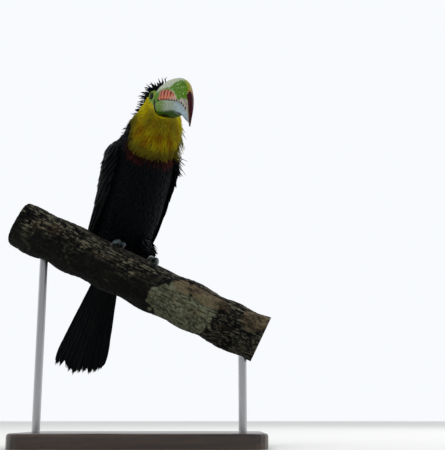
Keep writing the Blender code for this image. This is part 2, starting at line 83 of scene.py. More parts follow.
def add(tree, kind, output, inputs=None, **settings):
    """Adds a shader node with its settings and inputs, and gives the output named."""
    node = tree.nodes.new("ShaderNode" + kind)
    for name, value in settings.items():
        setattr(node, name, value)
    feed(node, inputs or {})
    return node.outputs[output]


def new_material(name):
    """A material whose tree holds only its output and a Principled shader, and that shader."""
    made = bpy.data.materials.new(name)
    made.use_nodes = True
    return made, made.node_tree, made.node_tree.nodes["Principled BSDF"]


def link(name, mesh, *materials):
    """Links a finished mesh into the scene as an object at the origin, with its materials."""
    made = bpy.data.objects.new(name, mesh)
    bpy.context.scene.collection.objects.link(made)
    for material in materials:
        mesh.materials.append(material)
    return made


def circle(count):
    """Angles spaced evenly round a circle."""
    return np.linspace(0, 2 * np.pi, count, endpoint=False)


studio_paper, tree, shader = new_material("studio paper")
feed(shader, {"Base Color": linear(FLOOR_COLOUR), "Roughness": 0.9, "Specular IOR Level": 0.1})
ring = circle(96)
disc = np.stack([FLOOR_RADIUS * np.cos(ring), FLOOR_RADIUS * np.sin(ring), 0 * ring], -1)
floor_mesh = bpy.data.meshes.new("studio_floor")
floor_mesh.from_pydata(disc.tolist(), [], [list(range(len(disc)))])
studio_floor = link("studio_floor", floor_mesh, studio_paper)

tent = bpy.data.worlds.new("white tent")
bpy.context.scene.world = tent
tent.use_nodes = True
glow = tent.node_tree.nodes["Background"]
toward = add(tent.node_tree, "TexCoord", "Generated")
toward = add(tent.node_tree, "SeparateXYZ", "Y", {"Vector": toward})
bright = add(tent.node_tree, "MapRange", "Result", {
    "Value": toward, "From Min": -0.55, "From Max": 0.20, "To Min": TENT_FRONT, "To Max": 1.0,
}, interpolation_type="SMOOTHSTEP")
feed(glow, {"Color": linear(TENT_COLOUR), "Strength": bright})
for name, place, aim, across, watts in LAMPS:
    lamp = bpy.data.lights.new(name, "AREA")
    lamp.energy, lamp.size = watts, across
    lamp_object = bpy.data.objects.new(name, lamp)
    bpy.context.scene.collection.objects.link(lamp_object)
    heading = np.array(aim) - place
    level = math.hypot(heading[0], heading[1])
    lamp_object.location = place
    lamp_object.rotation_euler = (math.atan2(level, -heading[2]), 0, math.atan2(-heading[0], heading[1]))

camera_data = bpy.data.cameras.new("camera")
camera_data.lens = CAMERA_LENS
camera_data.sensor_width = 36
camera = bpy.data.objects.new("camera", camera_data)
camera.location = CAMERA_PLACE
camera.rotation_euler = (math.radians(90 + CAMERA_TILT), 0, 0)
bpy.context.scene.collection.objects.link(camera)
bpy.context.scene.camera = camera
bpy.context.scene.view_settings.view_transform = "Standard"

# ---- display stand ----------------------------------------------------------------------------------
# A flat base of dark-stained hardwood with softened edges, and two steel rods glued into blind holes in it.
# The turned and polished rods rise into the underside of the branch.

# Stained oak: brown-black with long, slightly paler growth lines under a thin satin lacquer.
stained_oak, tree, shader = new_material("dark stained oak")
place = add(tree, "TexCoord", "Object")
stretched = add(tree, "Mapping", "Vector", {"Vector": place, "Scale": (5, 110, 60)})
growth = add(tree, "TexNoise", "Fac", {"Vector": stretched, "Scale": 1.0, "Detail": 5.0, "Distortion": 0.7})
pores = add(tree, "Mapping", "Vector", {"Vector": place, "Scale": (60, 1500, 900)})
pores = add(tree, "TexNoise", "Fac", {"Vector": pores, "Scale": 1.0, "Detail": 1.0})
grain = add(tree, "MapRange", "Result", {"Value": growth, "From Min": 0.35, "From Max": 0.66})
stain = add(tree, "Mix", "Result", {"Factor": grain, "A": linear("#1E1511"), "B": linear("#4A3426")},
            data_type="RGBA")
pitted = add(tree, "MapRange", "Result", {"Value": pores, "From Min": 0.55, "From Max": 0.70,
                                          "To Min": 1.0, "To Max": 0.55})
stain = add(tree, "Mix", "Result", {"Factor": 1.0, "A": stain, "B": pitted},
            data_type="RGBA", blend_type="MULTIPLY")
relief = add(tree, "Bump", "Normal", {"Height": pitted, "Strength": 0.25, "Distance": 0.0002})
feed(shader, {"Base Color": stain, "Roughness": 0.36, "Normal": relief,
              "Coat Weight": 0.25, "Coat Roughness": 0.22})

# Brushed steel: pale grey with fine rings left by the lathe, about 0.5 mm apart so that they show.
brushed_steel, tree, shader = new_material("brushed steel")
place = add(tree, "TexCoord", "Object")
rings = add(tree, "Mapping", "Vector", {"Vector": place, "Scale": (40, 40, 2000)})
rings = add(tree, "TexNoise", "Fac", {"Vector": rings, "Scale": 1.0, "Detail": 2.0})
dulled = add(tree, "MapRange", "Result", {"Value": rings, "To Min": 0.24, "To Max": 0.44})
relief = add(tree, "Bump", "Normal", {"Height": rings, "Strength": 0.15, "Distance": 0.0001})
feed(shader, {"Base Color": linear("#B9BABC"), "Metallic": 1.0, "Roughness": dulled, "Normal": relief})

for node, finish in (("stand_base", stained_oak), ("stand_rod_left", brushed_steel),
                     ("stand_rod_right", brushed_steel)):
    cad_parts[node].data.materials.clear()
    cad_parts[node].data.materials.append(finish)

# ---- cut branch -------------------------------------------------------------------------------------
# A short length of tree branch as thick as a wrist, sawn square at both ends and left in its bark. The bark
# is rough, dark and fissured along the branch, and rubbed smoother on top where birds land.

PERCH_AXIS_POINT = np.array((-0.013, 0.0, 0.205))
PERCH_RADIUS = 0.0292
PERCH_SLOPE = math.radians(25.8)
PERCH_REACH = (-0.163, 0.175)
PERCH_BARK_HEIGHT = 0.0022
PERCH_SEED = 7
GRIP_MIDDLE = -0.010
GRIP_HALF_LENGTH = 0.070
BARK_ROWS, BARK_COLUMNS = 400, 226
SAWN_RINGS = 7
PERCH_ALONG = np.array((math.cos(PERCH_SLOPE), 0, -math.sin(PERCH_SLOPE)))
PERCH_TOP = np.array((math.sin(PERCH_SLOPE), 0, math.cos(PERCH_SLOPE)))
TOWARDS_FRONT = np.array((0.0, -1.0, 0.0))


def grid_quads(rows, columns, closed=False):
    """Quads between rows of points that each close on themselves, and from last row to first if closed."""
    here = np.arange(rows * columns).reshape(rows, columns)
    after = np.roll(here, -1, 1)
    quads = np.stack([here, after, np.roll(after, -1, 0), np.roll(here, -1, 0)], -1)
    return quads[: rows if closed else rows - 1].reshape(-1, 4).tolist()


def turned_out(points, faces):
    """The faces, each turned round if the volume that they close comes out negative."""
    second_halves = [(face[0], face[2], face[3]) for face in faces if len(face) == 4]
    corners = np.array([face[:3] for face in faces] + second_halves)
    a, b, c = (points[corners[:, i]] for i in range(3))
    return faces if (a * np.cross(b, c)).sum() > 0 else [face[::-1] for face in faces]


def moved_on(faces, step):
    """Faces whose corners count from a later first point."""
    return [[corner + step for corner in face] for face in faces]


def ring_mesh(name, *grids):
    """A mesh of closed surfaces, each through its own grid of rings of points, with a fan over each end."""
    points, faces = np.empty((0, 3)), []
    for grid in grids:
        rows, columns = grid.shape[:2]
        more = np.concatenate([grid.reshape(-1, 3), grid[:1].mean(1), grid[-1:].mean(1)])
        around = np.arange(columns)
        after, top = np.roll(around, -1), (rows - 1) * columns
        low = np.stack([after, around, 0 * around + rows * columns], -1).tolist()
        high = np.stack([top + around, top + after, 0 * around + rows * columns + 1], -1).tolist()
        faces += moved_on(turned_out(more, grid_quads(rows, columns) + low + high), len(points))
        points = np.concatenate([points, more])
    mesh = bpy.data.meshes.new(name)
    mesh.from_pydata(points.tolist(), [], faces)
    mesh.shade_smooth()
    return mesh


def lattice_noise(rng, across, around, cells, turns):
    """Smooth random values from -1 to 1 on a lattice of cells by turns, which closes on itself in the second.

    A point blends the four random numbers at its cell's corners by the curve t * t * (3 - 2 * t).
    """
    values = rng.uniform(-1, 1, (cells + 2, turns))
    x, y = across * cells, around * turns
    i, j = np.floor(x).astype(int), np.floor(y).astype(int)
    s, t = x - i, y - j
    s, t = s * s * (3 - 2 * s), t * t * (3 - 2 * t)
    i, j, k = np.clip(i, 0, cells), j % turns, (j + 1) % turns
    low = values[i, j] * (1 - t) + values[i, k] * t
    high = values[i + 1, j] * (1 - t) + values[i + 1, k] * t
    return low * (1 - s) + high * s


def perch_side(turn):
    """Unit direction from the branch's axis at an angle from its top towards the front."""
    return np.sin(turn)[..., None] * TOWARDS_FRONT + np.cos(turn)[..., None] * PERCH_TOP


rng = np.random.default_rng(PERCH_SEED)
waves = [(rng.uniform(40, 160), rng.integers(1, 6), rng.uniform(0, 2 * math.pi)) for _ in range(5)]
along = np.linspace(*PERCH_REACH, BARK_ROWS)[:, None]
turn = 2 * np.pi * (np.arange(BARK_COLUMNS)[None, :] / BARK_COLUMNS - 0.5)
share, part = (along - PERCH_REACH[0]) / (PERCH_REACH[1] - PERCH_REACH[0]) * 0.999, turn / (2 * np.pi) + 0.5
lumps = sum(np.sin(wave * along + turns * turn + phase) / (1 + i)
            for i, (wave, turns, phase) in enumerate(waves))
knot = np.exp(-(((along - 0.071) / 0.013) ** 2) - ((turn - 2.2) / 0.55) ** 2)
stub = np.exp(-(((along + 0.118) / 0.011) ** 2) - ((turn - 0.9) / 0.45) ** 2)
away = np.minimum(np.abs(along - GRIP_MIDDLE) / GRIP_HALF_LENGTH, 1)
gripped = (1 - away**6) * np.maximum(0, np.cos(0.8 * turn)) ** 0.25
coarse = PERCH_BARK_HEIGHT * (0.55 * lumps + 1.7 * knot + 1.5 * stub) * (1 - gripped) - 0.0004 * gripped
rng = np.random.default_rng(PERCH_SEED + 1)
bent = 0.012 * lattice_noise(rng, share, part, 30, 12) + 0.006 * lattice_noise(rng, share, part, 80, 30)
plates = np.abs(lattice_noise(rng, share, part + bent, 26, 38)) * 1.5
plates = plates + 0.5 * np.abs(lattice_noise(rng, share, part + bent, 60, 62))
fissures = 1 - np.clip(plates * 2.6, 0, 1)
flakes = lattice_noise(rng, share + bent, part, 110, 64)
grit = lattice_noise(rng, share, part, 220, 118)
lichen = lattice_noise(rng, share, part, 17, 9) + 0.5 * lattice_noise(rng, share, part, 60, 30)


def crust(middle, reach, at, spread, ragged=0.45):
    """1 on an oval patch of bark with a ragged edge: its middle and half length (m), its angle and spread."""
    gap = 1 - ((along - middle) / reach) ** 2 - ((turn - at) / spread) ** 2
    return step_up(gap + ragged * lichen, 0.0, 0.10)


def step_up(value, start, end):
    """0 before start and 1 after end, with the smooth curve t * t * (3 - 2 * t) between."""
    t = np.clip((value - start) / (end - start), 0, 1)
    return t * t * (3 - 2 * t)


def store(mesh, name, field, values):
    """Keeps a value, vector or color at each of a mesh's points under a name; a color's alpha is 1."""
    kind = {"value": "FLOAT", "vector": "FLOAT_VECTOR", "color": "FLOAT_COLOR"}[field]
    if field == "color":
        values = np.concatenate([values, np.ones((len(values), 1))], 1)
    mesh.attributes.new(name, kind, "POINT").data.foreach_set(field, np.asarray(values, np.float32).ravel())


wear = 1 - 0.72 * gripped
fine = MM * (-1.25 * fissures**1.3 + 0.42 * flakes + 0.16 * grit) * wear
reach = PERCH_RADIUS + coarse + np.minimum(fine, 0.0006 * (1 - gripped) + 0.0001)
bend = 0.0016 * np.sin(22 * along) * away
axis = PERCH_AXIS_POINT + along[..., None] * PERCH_ALONG + bend[..., None] * np.array((0, 1, 0))
bark_rows = axis + perch_side(turn) * reach[..., None]
shrink = np.linspace(1, 0, SAWN_RINGS + 1)[1:-1]
rim_low, rim_high = bark_rows[:1], bark_rows[-1:]
sawn_low = [axis[:1, :1] + (rim_low - axis[:1, :1]) * s for s in shrink[::-1]]
sawn_high = [axis[-1:, :1] + (rim_high - axis[-1:, :1]) * s for s in shrink]
perch_mesh = ring_mesh("perch_bark", np.concatenate([*sawn_low, bark_rows, *sawn_high]))
relief_of = np.clip(0.62 + 0.28 * flakes + 0.16 * grit - 0.75 * fissures * wear, 0, 1)
ends = np.full((SAWN_RINGS - 1) * BARK_COLUMNS, 0.0)
# Painted shade: the lower half of the branch is darkened as if in its own shadow, less where lichen grows. A
# few darker patches on its front join this below, and both are halved past 5 to 10 cm along.
under = 1 / (1 + np.exp((np.cos(turn) - 0.06 + 0.25 * lichen) / 0.14))
grey_crust = np.maximum(crust(0.070, 0.040, 1.88, 1.05, 0.72), 0.22 * step_up(lichen, 0.55, 0.80))
rubbed_tan = np.maximum(crust(0.082, 0.032, 0.95, 0.42, 0.7), crust(0.150, 0.026, 0.9, 0.5, 0.9))
wet = np.maximum(crust(0.026, 0.022, 1.75, 0.9), crust(0.135, 0.034, 1.9, 1.1)) * (1 - grey_crust)
shade_and_dark_patches = np.maximum(0.97 * under * (1 - 0.75 * grey_crust), 0.80 * wet) * (1 - 0.5 * step_up(along, 0.05, 0.10))
for name, values in (("Relief", relief_of), ("Lichen", grey_crust), ("Rubbed", rubbed_tan), ("ShadeAndDarkPatches", shade_and_dark_patches)):
    store(perch_mesh, name, "value", np.concatenate([ends, (values + 0 * flakes).ravel(), ends, [0, 0]]))

# Weathered bark: matt and fibrous along the branch, near black in its fissures and dark olive-brown on the
# plates, with thin grey lichen, tan rubbed patches, a few darker patches and a painted shade on its
# underside.
weathered_bark, tree, shader = new_material("weathered bark")
place = add(tree, "TexCoord", "Object")
straight = add(tree, "Mapping", "Vector", {"Vector": place, "Rotation": (0, -PERCH_SLOPE, 0)})
streaky = add(tree, "Mapping", "Vector", {"Vector": straight, "Scale": (48, 520, 520)})
fibre = add(tree, "TexNoise", "Fac", {
    "Vector": streaky, "Scale": 1.0, "Detail": 6.0, "Roughness": 0.74, "Distortion": 0.9})
wide = add(tree, "Mapping", "Vector", {"Vector": straight, "Scale": (34, 90, 90)})
blotch = add(tree, "TexNoise", "Fac", {"Vector": wide, "Scale": 1.0, "Detail": 6.0, "Roughness": 0.65})
height = add(tree, "Attribute", "Fac", attribute_name="Relief")
grown = add(tree, "Attribute", "Fac", attribute_name="Lichen")
height = add(tree, "Math", "Value", {0: height, 1: 0.6}, operation="MULTIPLY")
mixed = add(tree, "Math", "Value", {0: fibre, 1: 2.6, 2: height}, operation="MULTIPLY_ADD")
rise = add(tree, "MapRange", "Result", {"Value": mixed, "From Min": 1.70, "From Max": 1.96})
bare = add(tree, "Mix", "Result", {"Factor": rise, "A": linear("#020202"), "B": linear("#6E6A58")},
           data_type="RGBA")
raised_part = add(tree, "MapRange", "Result", {
    "Value": mixed, "From Min": 1.50, "From Max": 1.86, "To Min": 0.22})
grey = add(tree, "Math", "Value", {0: grown, 1: raised_part}, operation="MULTIPLY")
bare = add(tree, "Mix", "Result", {"Factor": grey, "A": bare, "B": linear("#74775F")}, data_type="RGBA")
rubbed = add(tree, "Attribute", "Fac", attribute_name="Rubbed")
patchwork = add(tree, "MapRange", "Result", {
    "Value": blotch, "From Min": 0.56, "From Max": 0.64, "To Max": 0.45})
rubbed = add(tree, "Math", "Value", {0: rubbed, 1: patchwork}, operation="MAXIMUM")
rubbed = add(tree, "Math", "Value", {0: rubbed, 1: raised_part}, operation="MULTIPLY")
bare = add(tree, "Mix", "Result", {"Factor": rubbed, "A": bare, "B": linear("#6F6049")}, data_type="RGBA")
# Painted shade on the underside, with the darker patches, takes the bark towards near black.
shade_and_dark_patches = add(tree, "Attribute", "Fac", attribute_name="ShadeAndDarkPatches")
bare = add(tree, "Mix", "Result", {"Factor": shade_and_dark_patches, "A": bare, "B": linear("#070806")}, data_type="RGBA")
relief = add(tree, "Bump", "Normal", {"Height": mixed, "Strength": 0.8, "Distance": 0.0006})
feed(shader, {"Base Color": bare, "Roughness": 0.88, "Specular IOR Level": 0.12, "Normal": relief})

# Sawn heartwood: pale tan with growth rings about 2 mm apart round a darker middle, and fine saw marks.
sawn_wood, tree, shader = new_material("sawn wood")
place = add(tree, "TexCoord", "Object")
centred = add(tree, "VectorMath", "Vector", {0: place, 1: tuple(PERCH_AXIS_POINT)}, operation="SUBTRACT")
straight = add(tree, "Mapping", "Vector", {"Vector": centred, "Rotation": (0, -PERCH_SLOPE, 0)})
flat = add(tree, "VectorMath", "Vector", {0: straight, 1: (0, 1, 1)}, operation="MULTIPLY")
wobble = add(tree, "TexNoise", "Fac", {"Vector": flat, "Scale": 90.0, "Detail": 2.0})
out = add(tree, "VectorMath", "Value", {0: flat}, operation="LENGTH")
out = add(tree, "Math", "Value", {0: wobble, 1: 0.0016, 2: out}, operation="MULTIPLY_ADD")
band = add(tree, "Math", "Value", {0: out, 1: 2 * math.pi / 0.0021}, operation="MULTIPLY")
band = add(tree, "Math", "Value", {0: band}, operation="SINE")
band = add(tree, "MapRange", "Result", {"Value": band, "From Min": -1.0, "From Max": 1.0})
wood = add(tree, "Mix", "Result", {"Factor": band, "A": linear("#B08C5E"), "B": linear("#8B6A43")},
           data_type="RGBA")
heart = add(tree, "MapRange", "Result", {
    "Value": out, "From Min": 0.004, "From Max": 0.016, "To Min": 0.65, "To Max": 0.0})
wood = add(tree, "Mix", "Result", {"Factor": heart, "A": wood, "B": linear("#5C4128")}, data_type="RGBA")
marks = add(tree, "Mapping", "Vector", {"Vector": straight, "Scale": (50, 900, 50)})
marks = add(tree, "TexNoise", "Fac", {"Vector": marks, "Scale": 1.0})
relief = add(tree, "Bump", "Normal", {"Height": marks, "Strength": 0.4, "Distance": 0.0003})
feed(shader, {"Base Color": wood, "Roughness": 0.75, "Normal": relief})

perch_bark = link("perch_bark", perch_mesh, weathered_bark, sawn_wood)
normals = np.empty(len(perch_mesh.polygons) * 3, np.float32)
perch_mesh.polygons.foreach_get("normal", normals)
middles = np.empty(len(perch_mesh.polygons) * 3, np.float32)
perch_mesh.polygons.foreach_get("center", middles)
lengthwise = (middles.reshape(-1, 3) - PERCH_AXIS_POINT) @ PERCH_ALONG
at_end = (lengthwise < PERCH_REACH[0] + 0.0002) | (lengthwise > PERCH_REACH[1] - 0.0002)
perch_mesh.polygons.foreach_set("material_index", at_end.astype(np.int32))
perch_mesh.set_sharp_from_angle(angle=math.radians(62))
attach(perch_bark, "root")
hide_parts("perch")

# ---- skin -------------------------------------------------------------------------------------------
# One skin over head, neck, trunk, the folded wings' arms and thighs, with the closed surfaces of the feet
# and lids sunk into it. It lies inside the plumage by the coat's depth, and is bare only round the eyes and
# on the shanks and toes.

BODY_YAW, BODY_PITCH, BODY_ROLL = math.radians(27), math.radians(60), math.radians(4)
BODY_STANCE = (-0.008, 0.120)
GRIP_POINT = np.array((-0.024, 0.017, 0.205))
HEAD_YAW, HEAD_PITCH, HEAD_ROLL = math.radians(19.2), math.radians(-18.2), math.radians(-4.5)
BILL_BASE_POINT = np.array((0.0266, -0.055, 0.4165))
EYE_RADIUS = 0.0064
EYE_PLACE = (-0.0140, 0.0116, 0.0080)  # forward of the bill base, out to the side, above the gape
TRUNK_SECTIONS = (  # place along the spine, half width, depth to the belly, depth to the back, mm
    (-136, 11, 5, 5), (-118, 16, 9, 9), (-100, 22, 15, 15), (-84, 31, 25, 22), (-64, 38, 36.5, 30),
    (-36, 41, 45, 36), (0, 42.5, 47, 40), (32, 43, 46, 40), (54, 41, 43, 38.5), (70, 35, 38, 33),
)
RUMP_DROP = ((-136, 7), (-100, 2), (-60, 0), (70, 0))
RUMP_SWING = ((-136, 8), (-100, 4.5), (-60, 0), (70, 0))
WING_SECTIONS = (  # place, half width, back depth, thickness (mm), leading and upper edge (degrees)
    (-118, 26, 20, 1.6, 132, 150), (-105, 33, 26, 2.2, 108, 166), (-86, 40, 31, 2.8, 92, 176),
    (-62, 43.5, 36, 3.2, 84, 178.4), (-30, 44.8, 40, 3.8, 78, 178.4), (0, 45.2, 42, 4.4, 73, 172),
    (30, 45.6, 42, 5.2, 69, 156), (50, 43.6, 41.5, 4.8, 70, 138), (61, 39.8, 38.5, 2.4, 80, 116),
)
NECK_SECTIONS = (  # share of the way from breast to skull, half width, depth to the throat, to the nape, mm
    (0.00, 36, 40, 33), (0.22, 35.5, 39, 31), (0.50, 32, 35, 28.5), (0.78, 26.5, 28, 26),
    (1.00, 21, 21, 22.5),
)
HEAD_SECTIONS = (  # place ahead of the bill base, half width, height above the gape, depth below it, mm
    (-54, 8, 10, 6), (-50, 14, 16.5, 14.5), (-42, 19, 22.5, 21), (-31, 19.6, 25.8, 23.5),
    (-20, 18.0, 27.0, 22.3), (-10, 16.8, 26.8, 20.0), (-3, 16.5, 26.0, 18.0), (0, 16.4, 25.6, 16.8),
)
FOOT_PLACES = {"right": -0.037, "left": 0.008}
FOOT_BACK_TURN = {"right": math.radians(-26), "left": math.radians(-26)}
TOES = {  # length over the bark, drift along the branch, and 1 ahead or -1 behind
    "inner_front": (0.0235, 0.0045, 1), "outer_front": (0.0330, -0.0075, 1),
    "outer_back": (0.0270, -0.0120, -1), "inner_back": (0.0175, 0.0050, -1),
}
TOE_RADIUS, TARSUS_RADIUS, TOUCH = 0.0029, 0.0030, 0.0003
SCUTE_LENGTH, SCUTE_HEIGHT = 0.0016, 0.00016
SHANK_SHARE = 0.26
SIDES = {"right": 1, "left": -1}
SKIN_VOXEL, FOOT_VOXEL = 0.0016, 0.00042
COAT_DEPTH = {"body": 2.5, "head": 1.7, "face": 0.7, "spikes": 2.6}  # mm
EYE_TURN = math.radians(16)  # how far the eyes look forward of straight sideways
THIGH_REACH = 0.015  # m from a thigh's line within which feathers are the thigh's


def curve_at(table, place, column):
    """Values of a table's column at places in its first one, on cubic Hermite curves through its rows."""
    rows = np.array(table, float)
    x, y = rows[:, 0], rows[:, column]
    slope = np.gradient(y, x)
    i = np.clip(np.searchsorted(x, place) - 1, 0, len(x) - 2)
    h = x[i + 1] - x[i]
    t = np.clip((place - x[i]) / h, 0, 1)
    return ((1 + 2 * t) * (1 - t) ** 2 * y[i] + t * (1 - t) ** 2 * h * slope[i]
            + t * t * (3 - 2 * t) * y[i + 1] + t * t * (t - 1) * h * slope[i + 1])


def sizes_at(table, place):
    """The three sizes of a table of sections, in metres, at places in its first column."""
    return (curve_at(table, place, column) * MM for column in (1, 2, 3))


def unit(vectors):
    """Vectors divided by their lengths."""
    return vectors / np.maximum(np.linalg.norm(vectors, axis=-1, keepdims=True), 1e-12)


AHEAD = np.array((math.sin(BODY_YAW), -math.cos(BODY_YAW), 0))
LEVEL_RIGHT = np.array((-math.cos(BODY_YAW), -math.sin(BODY_YAW), 0))
SKY = np.array((0.0, 0.0, 1.0))
LEAN_UP = SKY * math.cos(BODY_ROLL) - LEVEL_RIGHT * math.sin(BODY_ROLL)
RIGHT = LEVEL_RIGHT * math.cos(BODY_ROLL) + SKY * math.sin(BODY_ROLL)
SPINE = AHEAD * math.cos(BODY_PITCH) + LEAN_UP * math.sin(BODY_PITCH)
BELLY = AHEAD * math.sin(BODY_PITCH) - LEAN_UP * math.cos(BODY_PITCH)
BODY_CENTRE = GRIP_POINT + AHEAD * BODY_STANCE[0] + LEAN_UP * BODY_STANCE[1]
sy, cy, sp, cp = math.sin(HEAD_YAW), math.cos(HEAD_YAW), math.sin(HEAD_PITCH), math.cos(HEAD_PITCH)
HEAD_FORWARD = np.array((sy * cp, -cy * cp, sp))
LEVEL_UP = np.array((-sy * sp, cy * sp, cp))
HEAD_RIGHT = np.cross(HEAD_FORWARD, LEVEL_UP)
HEAD_UP = LEVEL_UP * math.cos(HEAD_ROLL) + HEAD_RIGHT * math.sin(HEAD_ROLL)
HEAD_RIGHT = HEAD_RIGHT * math.cos(HEAD_ROLL) - LEVEL_UP * math.sin(HEAD_ROLL)
BODY_AXES = np.stack([SPINE, BELLY, RIGHT])
HEAD_AXES = np.stack([HEAD_FORWARD, HEAD_RIGHT, HEAD_UP])


def body_point(spine, belly, right):
    """Places given in metres along the spine, towards the belly and towards the bird's right."""
    parts = np.stack(np.broadcast_arrays(spine, belly, right), -1).astype(float)
    return BODY_CENTRE + parts @ BODY_AXES


def head_point(forward, right, up):
    """Places given in metres from the middle of the gape at the bill's base."""
    parts = np.stack(np.broadcast_arrays(forward, right, up), -1).astype(float)
    return BILL_BASE_POINT + parts @ HEAD_AXES


def in_body(points):
    """Millimetres along the spine, towards the belly and towards the right, of places in the room."""
    return ((points - BODY_CENTRE) @ BODY_AXES.T / MM).T


def in_head(points):
    """Millimetres forward, right and up from the middle of the gape, of places in the room."""
    return ((points - BILL_BASE_POINT) @ HEAD_AXES.T / MM).T


def oval(turn, half, front, back):
    """(sideways, frontways) on an oval of a half width whose depths to the front and back differ."""
    return half * np.sin(turn), np.where(np.cos(turn) > 0, front, back) * np.cos(turn)


def trunk_grid(places, turn):
    """Points of the trunk at places along the spine (mm) and angles from the belly."""
    half, belly, back = sizes_at(TRUNK_SECTIONS, places)
    drop, swing = curve_at(RUMP_DROP, places, 1) * MM, curve_at(RUMP_SWING, places, 1) * MM
    side, front = oval(turn, half, belly, back)
    return body_point(places * MM, drop + front, swing + side)


def wing_point(place, angle, side, lift):
    """Points over a folded wing's inner side, lifted outwards, at angles from the belly (0) to the back."""
    half, back = (curve_at(WING_SECTIONS, place, column) * MM for column in (1, 2))
    belly = curve_at(TRUNK_SECTIONS, place, 2) * MM
    depth = np.where(np.cos(angle) > 0, belly, back) + lift
    swing = curve_at(RUMP_SWING, place, 1) * MM
    return body_point(place * MM, depth * np.cos(angle), swing + side * (half + lift) * np.sin(angle))


def wing_fat(place, share):
    """Thickness of a folded wing, rounded at its leading edge and thin towards its upper one."""
    thickness = curve_at(WING_SECTIONS, place, 3) * MM
    rise = np.sin(np.pi * np.minimum(share * 1.6 + 0.06, 0.5))
    return np.maximum(0.0007, thickness * rise * (1 - 0.62 * share))


def wing_angle(place, share):
    """Angle from the belly at a share of the way from a wing's leading edge to its upper one."""
    lead, top = curve_at(WING_SECTIONS, place, 4), curve_at(WING_SECTIONS, place, 5)
    return np.radians(lead + (top - lead) * share)


def neck_path(share):
    """Middle of the neck from the breast to the skull: a quadratic Bezier curve."""
    share = np.asarray(share, float)[..., None]
    start, bend = body_point(0.0703, 0, -0.003), body_point(0.098, -0.004, -0.011)
    end = head_point(-0.030, 0, 0.002)
    return start * (1 - share) ** 2 + bend * 2 * share * (1 - share) + end * share**2


def neck_axes(share):
    """Heading towards the skull, right and throat directions at shares of the neck."""
    heading = np.where(share[..., None] == 0, SPINE, unit(neck_path(share) - neck_path(share - 0.01)))
    right = unit(RIGHT * (1 - share[..., None]) + HEAD_RIGHT * share[..., None])
    right = unit(right - heading * (right * heading).sum(-1, keepdims=True))
    throat = np.cross(right, heading)
    return heading, right, throat * np.sign(throat @ BELLY)[..., None]


def tube_rings(points, radii, sides):
    """Rings square to a path, of a radius at each of its points."""
    points = np.asarray(points, float)
    heading = unit(np.gradient(points, axis=0))
    across = unit(np.cross(heading, np.roll(heading[:1], 1, axis=1) + 0.01))
    other = np.cross(heading, across)
    turn = 2 * np.pi * np.arange(sides) / sides
    round_it = across[:, None] * np.cos(turn)[:, None] + other[:, None] * np.sin(turn)[:, None]
    return points[:, None] + round_it * np.asarray(radii, float)[:, None, None]


def perch_point(place, turn, height):
    """Points over the branch: along it, round it from its top towards the front, and above its bark."""
    out = perch_side(np.asarray(turn, float)) * (PERCH_RADIUS + np.asarray(height, float))[..., None]
    return PERCH_AXIS_POINT + np.asarray(place, float)[..., None] * PERCH_ALONG + out


def toe_path(foot, toe, step):
    """Middle of a toe lying over the bark, at steps from its root (0) to its claw (1)."""
    length, drift, way = TOES[toe]
    turn = FOOT_BACK_TURN[foot] + way * step * length / (PERCH_RADIUS + TOE_RADIUS)
    arch = 0.0010 * np.sin(np.pi * np.maximum(step, 0)) + 0.0003
    sideways = (SIDES[foot] * drift + way * 0.10 * length) * step
    return perch_point(FOOT_PLACES[foot] + sideways, turn, TOE_RADIUS + TOUCH + arch)


def shank_point(foot, share):
    """Points on the shank's line from the knuckle (0) up to the heel inside the belly feathers (1)."""
    knuckle = perch_point(FOOT_PLACES[foot], FOOT_BACK_TURN[foot], TOE_RADIUS + 0.0005)
    heel = body_point(-0.050, 0.024, SIDES[foot] * 0.019)
    return knuckle + (heel - knuckle) * np.asarray(share, float)[..., None]


def cast_again(mesh, voxel, rounds):
    """(points, normals, faces) of a mesh made again from voxels of a size, and smoothed for some rounds."""
    helper = link("helper", mesh)
    remesh = helper.modifiers.new("remesh", "REMESH")
    remesh.mode, remesh.voxel_size, remesh.adaptivity = "VOXEL", voxel, 0.0
    smooth = helper.modifiers.new("smooth", "SMOOTH")
    smooth.factor, smooth.iterations = 0.5, rounds
    result = bpy.data.meshes.new_from_object(helper.evaluated_get(bpy.context.evaluated_depsgraph_get()))
    points, normals = np.empty(len(result.vertices) * 3), np.empty(len(result.vertices) * 3)
    result.vertices.foreach_get("co", points)
    result.vertices.foreach_get("normal", normals)
    faces = [tuple(face.vertices) for face in result.polygons]
    bpy.data.objects.remove(helper)
    bpy.data.meshes.remove(result)
    bpy.data.meshes.remove(mesh)
    return points.reshape(-1, 3), normals.reshape(-1, 3), faces


turn = circle(64)[None]
places = np.linspace(-136, 70, 60)[:, None]
trunk = trunk_grid(places, turn)
wing_lofts = []
for side in SIDES.values():
    place, share = np.linspace(-84, 61, 40)[:, None], np.linspace(0, 1, 15)[None, :]
    outer = wing_point(place, wing_angle(place, share), side, wing_fat(place, share) + 0.0006)
    inner = wing_point(place, wing_angle(place, share[:, ::-1]), side, -0.006)
    wing_lofts.append(np.concatenate([outer, inner], 1))
share = np.linspace(0, 1, 24)
heading, neck_right, throat = neck_axes(share)
half, front, back = sizes_at(NECK_SECTIONS, share[:, None])
side, face = oval(turn, half, front, back)
neck = neck_path(share)[:, None] + neck_right[:, None] * side[..., None] + throat[:, None] * face[..., None]
neck = np.concatenate([neck[:1] - SPINE * 0.012, neck])
place = np.linspace(-54, 0, 40)[:, None]
half, above, below = sizes_at(HEAD_SECTIONS, place)
side, height = oval(turn, half, above, below)
head = head_point(place * MM, side, height)
THIGHS = [(body_point(-0.058, 0.024, side * 0.018), shank_point(foot, SHANK_SHARE + 0.03))
          for foot, side in SIDES.items()]  # hip, and end on the shank
step = np.linspace(0, 1, 14)
radii = np.interp(step, (0, 0.3, 0.6, 0.85, 1), (0.0130, 0.0135, 0.0115, 0.0080, 0.0052))
